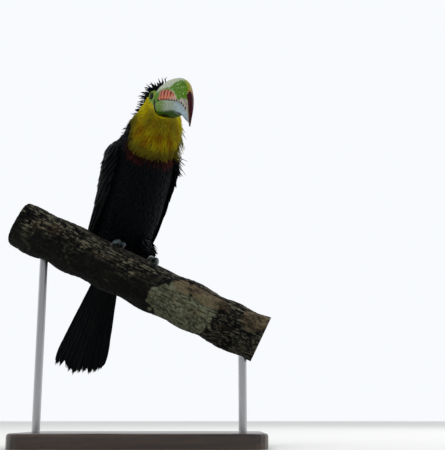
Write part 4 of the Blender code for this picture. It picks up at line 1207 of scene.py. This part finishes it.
coat("coat_nape_spikes", lambda p, s, run, a: ~in_yellow(run + 1, a) & (run >= 34) & (s > 74),
     3.7, (7.0, 10.5), (1.0, 1.6), 36, stations=6, swerve=18, thickness=1.3, blunt=1.0, point=0.75,
     stand=lambda run, a: np.interp(run, (34, 50, 72, 95), (46, 44, 40, 20)) * np.where(a < -60, 0.4, 1),
     tint="black")
coat("coat_crown_strands", lambda p, s, run, a: ~in_yellow(run, a) & feathered(p) & (s > 78),
     2.6, (6.0, 9.5), (0.4, 0.6), 30, stations=6, swerve=20, clump=4.5, pull=0.5, thickness=0.4, point=0.8,
     stand=lambda run, a: np.where(a < -60, 8, 20), tint="black")
coat("coat_bib_flare",
     lambda p, s, run, a: (in_yellow(run, a) & (s > bib_edge(a) + 1) & (s < bib_edge(a) + 13)
                           & (a < -50) & (a > -94) & (run > 34)),
     2.1, (14.0, 19.0), (1.0, 1.6), 34, stations=7, swerve=10, stand=31, clump=5.0, pull=0.5,
     colour_at=0.3, thickness=0.4, point=0.8)
coat("coat_shoulder_spikes", lambda p, s, run, a: (s > 50) & (s < 72) & (a < -56) & (a > -96),
     3.4, (12.0, 19.0), (1.1, 1.7), 31, stations=7, swerve=22, stand=30, thickness=1.0, blunt=1.0,
     point=0.9, tint="black")
coat("coat_shoulder_ruff",
     lambda p, s, run, a: (s > 58) & (s < 84) & (a > 74) & (a < 150) & ~in_yellow(run, a),
     3.2, (10.0, 14.0), (1.2, 1.9), 35, stations=7, swerve=14, stand=10, thickness=0.8, blunt=1.3,
     point=0.8, tint="black")
coat("coat_breast",
     lambda p, s, run, a: ((s < bib_edge(a) + 9) & (np.abs(a) < 112) & (s > -92) & ~under_wing(s, a)
                           & (run > 50)),
     3.35, (10.0, 14.0), (2.3, 3.2), 26, section=VANE, stations=6, blunt=3.2, swerve=7, thickness=0.22)
coat("coat_belly", lambda p, s, run, a: (s < -52) & (s > -96) & (np.abs(a) < 84),
     2.5, (15.0, 24.0), (1.0, 1.6), 32, stations=7, swerve=9, loose=2, top=(0.9, 1.5), clump=6.0, pull=0.3,
     stand=lambda run, a: np.where(a < -40, 13, 6), thickness=0.2)
coat("coat_thighs", lambda p, s, run, a: on_thigh(p) & (s < -60),
     2.2, (10.0, 16.0), (0.9, 1.4), 33, stations=7, swerve=9, stand=3, loose=1, top=(0.7, 1.1),
     thickness=0.2)
coat("coat_mantle",
     lambda p, s, run, a: ((np.abs(a) >= 104) & (s > -90) & ((s < 96) | in_yellow(run, a))
                           & ~under_wing(s, a) & (run > 40) & ~on_bib(s, run, a)),
     3.1, (11.0, 15.0), (2.3, 3.2), 27, section=VANE, stations=6, blunt=3.4, swerve=6, thickness=0.22)
coat("coat_rump", lambda p, s, run, a: (s <= -84) & (np.abs(a) > 84) & ~on_thigh(p),
     2.3, (12.0, 18.0), (1.1, 1.7), 28, stations=6, blunt=2.4, swerve=7, top=(0.8, 1.2))
coat("coat_vent", lambda p, s, run, a: (s <= -80) & (np.abs(a) <= 90) & ~on_thigh(p),
     2.3, (12.0, 18.0), (1.1, 1.7), 29, stations=6, blunt=2.4, swerve=7, top=(0.8, 1.2))

# ---- wings ------------------------------------------------------------------------------------------
# The folded wings: flight feathers stacked from the leading edge up towards the back, each lying over the one
# below it, and rows of coverts over their bases like roof slates. Each has a stiff shaft and a broad vane.

BROAD = np.array((  # across, and up from the vane's underside: the shaft stands proud in the middle
    (-1.0, 0.0), (-0.55, 0.7), (-0.10, 0.9), (0.0, 1.9), (0.10, 0.9), (0.55, 0.7), (1.0, 0.0), (0.5, -0.3),
    (-0.5, -0.3),
))
WING_BEND = 0.043  # radius of the wing's curve over the flank
WING_STATIONS = 11
COVERT_ROWS = (  # place of the roots at the leading edge, their slope back towards the upper edge, length,
    # half width, number, height over the wing's bone line; mm
    (60, 8, 12, 3.6, 9, 2.3), (55.5, 10, 12, 3.8, 11, 2.2), (50.5, 12, 13, 4.0, 12, 2.1),
    (45.5, 13, 13, 4.2, 12, 2.0), (40.0, 14, 14, 4.4, 12, 1.8), (34.5, 16, 15, 4.7, 12, 1.6),
    (28.5, 18, 17, 5.0, 12, 1.4), (21.0, 21, 21, 5.6, 12, 1.15), (12.0, 25, 31, 6.6, 12, 0.85),
)


def wing_rows(rng):
    """Every feather of a wing: its root and tip places (mm) and shares, half width, height and tilt (mm)."""
    rows = []
    for number, (start, slope, length, half, count, height) in enumerate(COVERT_ROWS):
        share = (np.arange(count) + 0.5 * (number % 2) + 0.2) / count * 1.02 - 0.03
        root = start - slope * share + rng.normal(0, 0.6, count)
        reach = length * rng.uniform(0.9, 1.12, count)
        rows.append(np.stack([root, root - reach, share, share + rng.normal(0.01, 0.012, count),
                              half * rng.uniform(0.9, 1.08, count), height + 0.05 * np.arange(count) / count,
                              np.full(count, 0.35)], -1))
    k = np.arange(12)  # secondaries and tertials, the inner ones shorter
    share = 0.03 + 0.080 * k
    rows.append(np.stack([6 - 30 * share, -89 + 0.5 * k + rng.normal(0, 1, 12), share, share + 0.02,
                          7.4 - 0.05 * k, 0.05 + 0.075 * k, np.full(12, 0.45)], -1))
    k = np.arange(10)  # primaries, showing along the leading edge and past the secondaries
    rows.append(np.stack([-14 - 2.0 * k, -84 - 3.4 * k, 0.01 + 0.022 * k, 0.05 + 0.060 * k, 5.4 + 0.15 * k,
                          -0.95 + 0.085 * k, np.full(10, 0.30)], -1))
    k = np.arange(9)  # primary coverts and the alula, over the primaries' bases
    rows.append(np.stack([14 - 3.0 * k, -14 - 4.0 * k, -0.02 + 0.018 * k, 0.0 + 0.022 * k, 4.2 + 0 * k,
                          0.35 + 0.06 * k, np.full(9, 0.30)], -1))
    return np.concatenate(rows)


def wing_rings(feathers, side, rng):
    """Rings round each wing feather, bent over the wing's outer side, with frayed edges near the tip."""
    root, tip, share0, share1, half, height, tilt = (feathers[:, i : i + 1] for i in range(7))
    t = np.linspace(0, 1, WING_STATIONS)[None]
    place = root + (tip - root) * t
    share = share0 + (share1 - share0) * t**1.3
    frayed = 1 + rng.normal(0, 0.07, place.shape) * step_up(t, 0.5, 0.9)
    blunt = np.sqrt(np.minimum(1, 0.35 + t / 0.3)) * np.maximum(1 - t**5, 0) ** 0.55 + 0.02
    width = half * blunt * frayed
    thick = 0.26 * (1 - 0.5 * t) + 0 * place
    across, up = BROAD[:, 0], BROAD[:, 1]
    angle = wing_angle(place, share)[..., None] + across * (width * MM / WING_BEND)[..., None]
    fat = wing_fat(place, np.clip(share, 0, 1))[..., None] / MM
    ruffle = np.maximum(0, rng.normal(-0.4, 1.1, (len(feathers), 1)))
    ruffle = ruffle * (root - tip < 22) * (1 + 1.6 * step_up(root, 20, 50))
    lift = fat * 0.9 - 0.7 + height[..., None] - 0.8 * (1 - t[..., None]) ** 3 + (ruffle * t**2)[..., None]
    lift = lift - tilt[..., None] * across * np.minimum(1, 2 * t[..., None]) + up * thick[..., None]
    return wing_point(place[..., None], angle, side, lift * MM)


for name, side in SIDES.items():
    rng = np.random.default_rng(40 + side)
    feathers = wing_rows(rng)
    rings = wing_rings(feathers, side, rng)
    roots = rings[:, 0].mean(1)
    dark = PLUMAGE["black"] * rng.uniform(0.8, 1.3, (len(feathers), 1))
    feather_object(f"coat_wing_{name}", rings, BROAD[:, 0], dark, feathers[:, 0] - feathers[:, 1],
                   feathers[:, 4], body_unwrap(roots), rng, edge_lit_keratin)

# ---- tail -------------------------------------------------------------------------------------------
# Ten tail feathers in a narrow fan, the middle pair on top. Each is a stiff blade with a shaft along it; the
# tips are worn, wet and split into ragged points, and there is a nick between two of the right ones.

TAIL_LENGTH = 0.166
TAIL_ROOT, TAIL_TIP = body_point(-0.100, 0.003, 0.004), body_point(-0.262, 0.012, 0.013)
TAIL_FEATHERS = 10
TAIL_HALF_WIDTHS = ((0, 13), (0.25, 19.5), (0.6, 29.0), (0.85, 35.0), (1.0, 35.5))  # share of length, mm
TAIL_STATIONS = 22
SPLINTERS = 9


def tail_reach(share):
    """Length of the tail at a share of the fan, shorter at its sides and at the nick on its right."""
    graded = 0.015 * np.abs(share) ** 2.4
    nick = 0.0085 * np.exp(-(((share - 0.60) / 0.10) ** 2))
    return TAIL_LENGTH - graded - nick + 0.0020 * np.sin(8.3 * share + 0.7) + 0.0012 * np.sin(21 * share)


def tail_point(step, share, lift):
    """Points in the arched fan, at a step from the root to the tips and a share from left to right."""
    spread = curve_at(TAIL_HALF_WIDTHS, step, 1) * MM
    arch = 0.006 * (1 - share * share) * (0.35 + 0.65 * step) + 0.004 * step + lift
    return (TAIL_ROOT + tail_heading * (TAIL_LENGTH * step)[..., None]
            + tail_across * (share * spread)[..., None] - tail_normal * arch[..., None])


tail_heading = unit(TAIL_TIP - TAIL_ROOT)
tail_across = unit(RIGHT - tail_heading * (RIGHT @ tail_heading))
tail_normal = np.cross(tail_across, tail_heading)
tail_normal = tail_normal * np.sign(tail_normal @ BELLY)
rng = np.random.default_rng(51)
place = (np.arange(TAIL_FEATHERS) + 0.5) / TAIL_FEATHERS * 2 - 1
t = np.linspace(0, 1, TAIL_STATIONS)
# Main blades, then for each feather a few splinters that carry the tip on past its blade.
shares = [np.repeat(place[:, None], TAIL_STATIONS, 1)]
steps = [t[None] * ((tail_reach(place) - 0.0030) / TAIL_LENGTH)[:, None]]
worn = 1 + rng.normal(0, 0.02, (TAIL_FEATHERS, TAIL_STATIONS))
halves = [0.155 * np.maximum(1 - t**14, 0) ** 0.5 * worn + 0.002]
lean = np.linspace(-1, 1, SPLINTERS)
for centre in place:
    side_share = centre + 0.095 * lean
    start = tail_reach(centre) / TAIL_LENGTH - 0.16
    end = tail_reach(side_share) / TAIL_LENGTH + 0.004 - 0.024 * np.abs(lean) ** 2
    end = end + rng.uniform(-0.020, 0.004, SPLINTERS)
    steps.append(start + (end - start)[:, None] * t)
    shares.append(side_share[:, None] - 0.05 * lean[:, None] * (1 - t))
    halves.append(0.022 * (1 - t**3) ** 0.8 * np.ones((SPLINTERS, 1)) + 0.001)
shares, steps, halves = (np.concatenate(part) for part in (shares, steps, halves))
across, up = BROAD[:, 0], BROAD[:, 1]
main = np.arange(len(shares)) < TAIL_FEATHERS
tilt = np.where(main, 0.0005, 0.0)[:, None, None] * across * np.sign(shares)[..., None]
thick = np.where(main, 0.00028, 0.00012)[:, None, None] * (1.4 - 0.9 * t[:, None])
layer = np.where(main, 0.0, rng.uniform(0.0001, 0.0004, len(shares)))[:, None, None]
share = shares[..., None] + across * halves[..., None]
rings = tail_point(np.broadcast_to(steps[..., None], share.shape), share, tilt + layer - up * thick)
dark = PLUMAGE["black"] * rng.uniform(0.8, 1.25, (len(shares), 1))
unrolled = np.stack([0.02 + 0.9 * rng.random(len(shares)), np.full(len(shares), 0.975)], -1)
tail_feathers = feather_object(
    "coat_tail", rings, across, dark, (steps[:, -1] - steps[:, 0]) * TAIL_LENGTH / MM,
    np.where(main, 5.0, 1.0), unrolled, rng, edge_lit_keratin)
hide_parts("tail")

# ---- bill -------------------------------------------------------------------------------------------
# The huge light bill: a thin horny sheath over bone, in two mandibles that meet in a saw-toothed edge. It is
# smooth and waxy, coloured in soft zones, with a keeled ridge and a hooked maroon tip.

BILL_START, BILL_LENGTH, LOWER_REACH = 0.00045, 0.126, 0.945
BILL_WIDTH = ((0.0, 15.8), (0.2, 15.4), (0.45, 12.9), (0.7, 9.0), (0.88, 5.0), (1.0, 0.7))  # share, mm
CULMEN = ((0.0, 25.0), (0.12, 28.6), (0.3, 30.4), (0.5, 28.8), (0.7, 20.4), (0.85, 5.4), (0.95, -12.8),
    (1.0, -27.0))
TOMIUM = ((0.0, 0.0), (0.25, 2.0), (0.5, 1.2), (0.7, -0.8), (0.85, -7.2), (0.94, -15.4), (1.0, -28.4))
KEEL = ((0.0, -15.8), (0.15, -16.4), (0.4, -15.9), (0.58, -14.0), (0.7, -14.8), (0.84, -20.4), (0.92, -23.2),
    (1.0, -27.0))
TEETH = np.array((21, 32, 42, 52, 61, 70, 78, 86, 93, 100, 106, 112))  # places of the notches in the edge, mm
# Besides the bill's own colours, this palette holds painted light: a pale sheen and a gloss band for
# reflections and highlights, pale flecks for glinting droplets, and near black for shade in the notches,
# inside and under the bill.
BILL = palette(
    green="#4C7804", sage="#C6CABA", patch="#C05E40", flame="#420604", blush="#C4A692", wet="#A9BC92",
    border="#A9BB8E", yellow="#96960C", amber="#94620C", orange="#A4540F", maroon="#4A2026", tip="#32141A",
    pale="#A89C96", streak="#574C4E", notch="#080404", line="#060706", lower="#5A7C1E", ice="#93A08C",
    steel="#9DAFB8", keel="#1E420A",
)


def smooth_noise(x, seed):
    """Smooth random values from -1 to 1 along a line: a sum of three sines with seeded places."""
    phase = np.random.default_rng(seed).uniform(0, 2 * np.pi, 3)
    return (np.sin(x + phase[0]) + 0.6 * np.sin(2.3 * x + phase[1]) + 0.4 * np.sin(5.1 * x + phase[2])) / 2


def tooth_at(forward):
    """1 in the middle of each notch of the upper edge, falling to 0 about three millimetres away."""
    return np.exp(-((np.abs(forward[..., None] - TEETH).min(-1) / (2.9 - 0.012 * forward)) ** 6))


def bill_paint(layers, shape):
    """Layers of (colour name, weight) laid over each other, as linear colours."""
    colour = np.zeros((*shape, 3))
    for name, weight in layers:
        colour = mixed(colour, BILL[name], np.clip(np.broadcast_to(weight, shape), 0, 1))
    return colour


share = (1 - (1 - np.linspace(0, 1, 300)) ** 1.12)[:, None]
half, top, edge = (curve_at(table, share, 1) * MM for table in (BILL_WIDTH, CULMEN, TOMIUM))
top = np.maximum(top, edge + 0.0010)
s = np.linspace(0, 1, 121)
turn = (np.pi * (0.5 * s + 0.25 * (1 - np.cos(np.pi * s))))[None]
rim = 1 + 0.012 * np.exp(-((share * BILL_LENGTH / 0.0014) ** 2))
side = np.sign(np.cos(turn)) * np.abs(np.cos(turn)) ** 0.82
ridge = 0.0007 * np.exp(-((np.cos(turn) / 0.16) ** 2)) * (1 - share)
height = edge + (top - edge) * np.sin(turn) ** 0.88 * rim + ridge
notch = tooth_at(share * BILL_LENGTH / MM)
height = height + 0.0008 * notch * np.exp(-(height - edge) / 0.0010)
forward = BILL_START + share * BILL_LENGTH
roof = head_point(forward + 0 * turn, half * side * rim, height)
sweep = np.linspace(-1, 1, 14)[None, 1:-1]
floor_height = edge + 0.0008 * notch + 0.0002 * (1 - sweep**2)
# the colours of the ridge reach further down the left side
far = np.where(side < 0, 0.45 * np.abs(side), np.abs(side))
palate = head_point(forward + 0 * sweep, half * sweep * rim * 0.985, floor_height)
F, w = share * BILL_LENGTH / MM + 0 * turn, np.abs(side) + 0 * share
h = np.clip((height - edge) / (top - edge), 0, 1)
patch_top = np.interp(F, (12, 20, 40, 55, 71, 79, 86, 91), (0.34, 0.43, 0.45, 0.43, 0.36, 0.24, 0.10, 0.0))
patch_top = patch_top + 0.018 * smooth_noise(F / 1.6, 3)
patch = step_up(F + 1.2 * smooth_noise(h * 22, 4), 18, 22) * step_up(patch_top - h, -0.02, 0.035)
flames = step_up(smooth_noise(F / 1.9 + 2.4 * h, 5) + 0.45 * smooth_noise(F / 3.1 - 5 * h, 8), -0.10, 0.45)
flames = flames * step_up(h / np.maximum(patch_top, 0.05) + 0.16 * smooth_noise(F / 1.3, 9), 0.20, 0.62)
maroon_edge = 100.5 + 6 * far + 0.8 * smooth_noise(w * 14, 6)
maroon = (step_up(F, maroon_edge - 0.7, maroon_edge + 0.7)
          * step_up(-far, -(0.64 + 0.5 * step_up(F, 110, 122)), -0.56))
pale_top = np.interp(F, (80, 88, 95, 100, 106, 112), (0.0, 0.10, 0.26, 0.42, 0.68, 1.0))
# Painted reflection: the upper part of the upper mandible's right side, from the base to the top of its arch,
# is painted pale, as the wet gloss mirrors the sky there.
sheen = h - np.interp(F, (0, 20, 40, 55, 60, 66, 75, 80), (0.42, 0.46, 0.48, 0.54, 0.68, 0.84, 1.0, 1.2))
sheen = step_up(sheen + 0.04 * smooth_noise(F / 2 + 7 * h, 14), -0.05, 0.10) * step_up(side, -0.35, 0.0)
pale = (step_up(pale_top + 0.02 * smooth_noise(F / 1.5, 10) - h, -0.03, 0.05)
        * step_up(w, 0.45, 0.56) * (1 - maroon))
# Painted highlight: a pale grey-green band just above the patch, from midway to near the tip, for gloss
# catching light.
border = np.exp(-(((h - patch_top - 0.015) / 0.026) ** 2)) * step_up(F, 50, 62) * step_up(-F, -95, -88)
blush = np.maximum(step_up(F - 90 * h, 40, 74), 0.5 * step_up(smooth_noise(F / 1.7 + 3 * h, 13), 0.2, 0.6))
upper_colour = bill_paint((
    ("green", 1.0), ("sage", 0.80 * sheen),
    ("yellow", 0.85 * step_up(F, 56, 84) * step_up(-far, -0.30, -0.10)),
    ("amber", 0.85 * step_up(F, 58, 82) * step_up(-side, 0.10, 0.55)),
    ("patch", patch), ("blush", patch * blush), ("flame", patch * flames * step_up(-F, -78, -66)),
    ("border", 0.8 * border), ("pale", pale),
    ("streak", 0.75 * pale * step_up(smooth_noise(w * 42 + 0.04 * F, 7), 0.1, 0.6)),
    ("orange", 0.85 * np.exp(-(((F - maroon_edge + 1.6) / 1.6) ** 2)) * step_up(-far, -0.55, -0.30)),
    ("maroon", maroon), ("tip", maroon * (0.35 + 0.65 * step_up(-far, -0.2, -0.05))),
    # Painted shade: within about 2 mm of the edge at each notch the sheath is painted near black, for the
    # shaded gap into the bill.
    ("notch", notch * step_up(-(height - edge) / MM + 0.03 * np.maximum(F - 70, 0), -2.1, -1.6)),
    ("line", step_up(-F, -6.5, -4.5) * step_up(-h, -0.16, -0.05)),
), F.shape)
# Painted shade: the palate is painted near black, as the shade inside the closed bill.
palate_colour = bill_paint((("notch", 1.0),), (F.shape[0], sweep.shape[1]))
# Painted highlights: where pale flecks stand for glinting water droplets, most on the right side, off the
# patch and tip.
upper_glints = (0.3 + 0.6 * step_up(side, -0.25, 0.1)) * (1 - patch) * (1 - maroon) * step_up(F, 22, 40)
upper_ends = np.concatenate([upper_colour[:1].mean(1), upper_colour[-1:].mean(1)])
upper_all = np.concatenate([np.concatenate([upper_colour, palate_colour], 1).reshape(-1, 3), upper_ends])

share = (LOWER_REACH * (1 - (1 - np.linspace(0, 1, 260)) ** 1.12))[:, None]
half = curve_at(BILL_WIDTH, share, 1) * MM * 0.965 * (1 - (share / LOWER_REACH) ** 5 * 0.86)
edge = curve_at(TOMIUM, share, 1) * MM - 0.0004
bottom = np.minimum(curve_at(KEEL, share, 1) * MM, edge - 0.0012)
turn = (np.pi * (0.5 * s + 0.25 * (1 - np.cos(np.pi * s))))[None]
rim = 1 + 0.012 * np.exp(-((share * BILL_LENGTH / 0.0014) ** 2))
side = np.sign(np.cos(turn)) * np.abs(np.cos(turn)) ** 0.80
height = edge + (bottom - edge) * np.sin(turn) ** 0.92 * rim
trough = head_point(BILL_START + share * BILL_LENGTH + 0 * turn, -half * side * rim, height)
tongue_side = head_point(BILL_START + share * BILL_LENGTH + 0 * sweep, -half * sweep[:, ::-1] * 0.985,
                         edge - 0.0002)
F, w = share * BILL_LENGTH / MM + 0 * turn, np.abs(side) + 0 * share
v = np.clip((edge - height) / (edge - bottom), 0, 1)
keel = step_up(v + 0.03 * smooth_noise(F / 6, 9), 0.60, 0.80) * step_up(F, 4, 16) * step_up(-F, -84, -66)
lower_colour = bill_paint((
    ("lower", 1.0), ("ice", step_up(F + 4 * smooth_noise(v * 9, 8), 22, 58)), ("steel", step_up(F, 62, 92)),
    ("lower", 0.55 * step_up(-v, -0.22, -0.05) * step_up(-F, -48, -26)), ("keel", 0.93 * keel),
    # Painted shade: the underside of the lower mandible is painted near black towards its tip and back near
    # its base, as in its own shadow; the band round the very base is the bill's own black line.
    ("line", 0.9 * step_up(v, 0.80, 0.90) * step_up(F, 70, 84)),
    ("line", step_up(v, 0.82, 0.93) * step_up(-F, -50, -34)), ("line", step_up(-F, -8.0, -6.4)),
), F.shape)
# Painted highlights: pale flecks of glinting water droplets over the upper part of the lower mandible.
lower_glints = 0.5 * step_up(-v, -0.7, -0.5) * step_up(F, 8, 14)
lower_ends = np.concatenate([lower_colour[:1].mean(1), lower_colour[-1:].mean(1)])
# Painted shade: the inner faces of the lower mandible are painted near black, as the shade inside the closed
# bill.
inner_colour = bill_paint((("notch", 1.0),), (F.shape[0], sweep.shape[1]))
lower_all = np.concatenate([np.concatenate([lower_colour, inner_colour], 1).reshape(-1, 3), lower_ends])

# Bill keratin: a hard waxy shell with a soft gloss, its colour in cloudy layers under the surface, with faint
# growth lines across it, hairline scratches along it and pale flecks painted where water droplets glint on
# it.
bill_keratin, tree, shader = new_material("bill keratin")
own = add(tree, "Attribute", "Color", attribute_name="Zones")
along_bill = add(tree, "Attribute", "Vector", attribute_name="Growth")
cloud = add(tree, "TexNoise", "Fac", {"Vector": along_bill, "Scale": 0.35, "Detail": 5.0, "Roughness": 0.62})
shade = add(tree, "MapRange", "Result", {
    "Value": cloud, "From Min": 0.3, "From Max": 0.7, "To Min": 0.62, "To Max": 1.24})
stretched = add(tree, "Mapping", "Vector", {"Vector": along_bill, "Scale": (0.14, 2.4, 2.4)})
hair = add(tree, "TexNoise", "Fac", {"Vector": stretched, "Scale": 1.0, "Detail": 3.0})
hairline = add(tree, "MapRange", "Result", {
    "Value": hair, "From Min": 0.35, "From Max": 0.65, "To Min": 0.90, "To Max": 1.10})
shade = add(tree, "Math", "Value", {0: shade, 1: hairline}, operation="MULTIPLY")
colour = add(tree, "Mix", "Result", {"Factor": 1.0, "A": own, "B": shade},
             data_type="RGBA", blend_type="MULTIPLY")
flecks = add(tree, "Mapping", "Vector", {"Vector": along_bill, "Scale": (0.15, 0.55, 0.55)})
flecks = add(tree, "TexNoise", "Fac", {"Vector": flecks, "Scale": 1.0, "Detail": 2.0, "Roughness": 0.6})
flecks = add(tree, "MapRange", "Result", {
    "Value": flecks, "From Min": 0.56, "From Max": 0.66, "To Max": 0.85})
# Painted highlights: pale flecks where water droplets glint, laid over the colour.
wet = add(tree, "Attribute", "Fac", attribute_name="Glints")
wet = add(tree, "Math", "Value", {0: wet, 1: flecks}, operation="MULTIPLY")
colour = add(tree, "Mix", "Result", {"Factor": wet, "A": colour, "B": (*BILL["wet"], 1.0)}, data_type="RGBA")
rough = add(tree, "MapRange", "Result", {
    "Value": hair, "From Min": 0.3, "From Max": 0.7, "To Min": 0.28, "To Max": 0.46})
layers = add(tree, "Mapping", "Vector", {"Vector": along_bill, "Scale": (1.1, 0.10, 0.10)})
growth = add(tree, "TexNoise", "Fac", {"Vector": layers, "Scale": 1.0, "Detail": 2.0})
height = add(tree, "Math", "Value", {0: growth, 1: hair}, operation="ADD")
relief = add(tree, "Bump", "Normal", {"Height": height, "Strength": 0.30, "Distance": 0.0003})
feed(shader, {"Base Color": colour, "Roughness": rough, "Specular IOR Level": 0.02, "Normal": relief})

for name, outer, inner, colours, glint_share in (("bill_upper", roof, palate, upper_all, upper_glints),
                                           ("bill_lower", trough, tongue_side, lower_all, lower_glints)):
    grid = np.concatenate([outer, inner], 1)
    glint_share = np.concatenate([glint_share, np.zeros(inner.shape[:2])], 1)
    mesh = ring_mesh(f"{name}_sheath", grid)
    points = np.concatenate([grid.reshape(-1, 3), grid[:1].mean(1), grid[-1:].mean(1)])
    store(mesh, "Zones", "color", colours)
    store(mesh, "Glints", "value", np.append(glint_share.ravel(), (0, 0)))
    store(mesh, "Growth", "vector", np.stack(in_head(points), -1))
    sheath = link(f"{name}_sheath", mesh, bill_keratin)
    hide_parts(name)
    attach(sheath, "root")

# ---- eyes -------------------------------------------------------------------------------------------
# The eyeballs behind the lids: a dark brown iris round a black pupil under a clear wet cornea that bulges a
# little from the ball.

EYE_RIM = {"pupil": 2.35, "iris": 4.3}  # radii, mm
EYE_COLOURS = palette(pupil="#020202", iris="#120B06", ring="#050302", white="#171412")

# Eye: the colour lies under the cornea, whose clear wet coat gives one small sharp highlight.
wet_eye, tree, shader = new_material("wet eye")
feed(shader, {"Base Color": add(tree, "Attribute", "Color", attribute_name="Iris"), "Roughness": 0.30,
              "Specular IOR Level": 0.05, "Coat Weight": 0.25, "Coat Roughness": 0.03, "Coat IOR": 1.376})

for name, side in SIDES.items():
    away = np.concatenate([np.linspace(0.015, 0.85, 44), np.linspace(0.90, np.pi - 0.03, 22)])[:, None]
    around = circle(72)[None]
    bulge = EYE_RADIUS * (0.975 + 0.055 * np.exp(-((away / 0.62) ** 4)))
    out = EYE_AXES[name]
    one = unit(np.cross(out, HEAD_UP))
    two = np.cross(out, one)
    grid = EYES[name] + (out * np.cos(away)[..., None]
                         + one * (np.sin(away) * np.cos(around))[..., None]
                         + two * (np.sin(away) * np.sin(around))[..., None]) * bulge[..., None]
    radius = EYE_RADIUS / MM * np.sin(np.minimum(away, 1.5)) + 0 * around
    rays = 0.5 + 0.5 * smooth_noise(around * 9, 12) * np.ones_like(radius)
    tint = EYE_COLOURS["iris"] * (0.7 + 0.6 * rays)[..., None]
    for key, weight in (("ring", step_up(radius, EYE_RIM["iris"] - 0.7, EYE_RIM["iris"])),
                        ("white", step_up(radius, EYE_RIM["iris"], EYE_RIM["iris"] + 0.3)),
                        ("pupil", step_up(-radius, -EYE_RIM["pupil"] - 0.12, -EYE_RIM["pupil"] + 0.12))):
        tint = mixed(tint, EYE_COLOURS[key], weight)
    mesh = ring_mesh(f"eyeball_{name}", grid)
    tint = np.concatenate([tint.reshape(-1, 3), [EYE_COLOURS["pupil"], EYE_COLOURS["white"]]])
    store(mesh, "Iris", "color", tint)
    eyeball = link(f"eyeball_{name}", mesh, wet_eye)
    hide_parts(f"eye_{name}")
    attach(eyeball, "root")

# ---- claws ------------------------------------------------------------------------------------------
# Eight short curved claws, one on the end of each toe: dark horn sheaths, flat-sided and grooved beneath,
# with their points resting near the bark.

CLAW_LENGTH, CLAW_RADIUS, CLAW_SINK = 0.0085, 0.0019, 0.0012

# Claw horn: brown-black, with fine growth rings across it.
claw_horn, tree, shader = new_material("claw horn")
place = add(tree, "TexCoord", "Object")
rings = add(tree, "TexNoise", "Fac", {"Vector": place, "Scale": 900.0, "Detail": 3.0})
ramp = add(tree, "Mix", "Result", {"Factor": rings, "A": linear("#0E0F11"), "B": linear("#2A2B2E")},
           data_type="RGBA")
feed(shader, {"Base Color": ramp, "Roughness": 0.34})

claw_grids = []
for foot in SIDES:
    for toe in TOES:
        path = toe_path(foot, toe, np.array((0.8, 1.0)))
        heading = unit(path[1] - path[0])
        inward = PERCH_AXIS_POINT - path[1]
        inward = unit(inward - PERCH_ALONG * (inward @ PERCH_ALONG))
        start = path[1] + heading * (0.0009 - CLAW_SINK)
        step = np.linspace(0, 1, 26)[:, None]
        drop = 0.0016 * step**2 - (0.0012 * np.sin(np.pi * step) - 0.0016 * step**2)
        middle = start + heading * (CLAW_LENGTH + CLAW_SINK) * step + inward * drop
        radius = CLAW_RADIUS * (1 - step) ** 0.75 * 0.96 + 0.00008
        turn = circle(20)[None]
        across = unit(np.cross(heading, inward))
        oval_side = 0.82 * np.cos(turn)
        oval_up = 1.08 * np.sin(turn) - 0.18 * np.maximum(0, np.sin(turn)) ** 6
        aside, inside = (radius * oval_side)[..., None], (radius * oval_up)[..., None]
        claw_grids.append(middle[:, None] + across * aside + inward * inside)
claws = link("claws", ring_mesh("claws", *claw_grids), claw_horn)
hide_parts(*[f"claw_{foot}_{toe}" for foot in SIDES for toe in TOES])
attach(claws, "root")
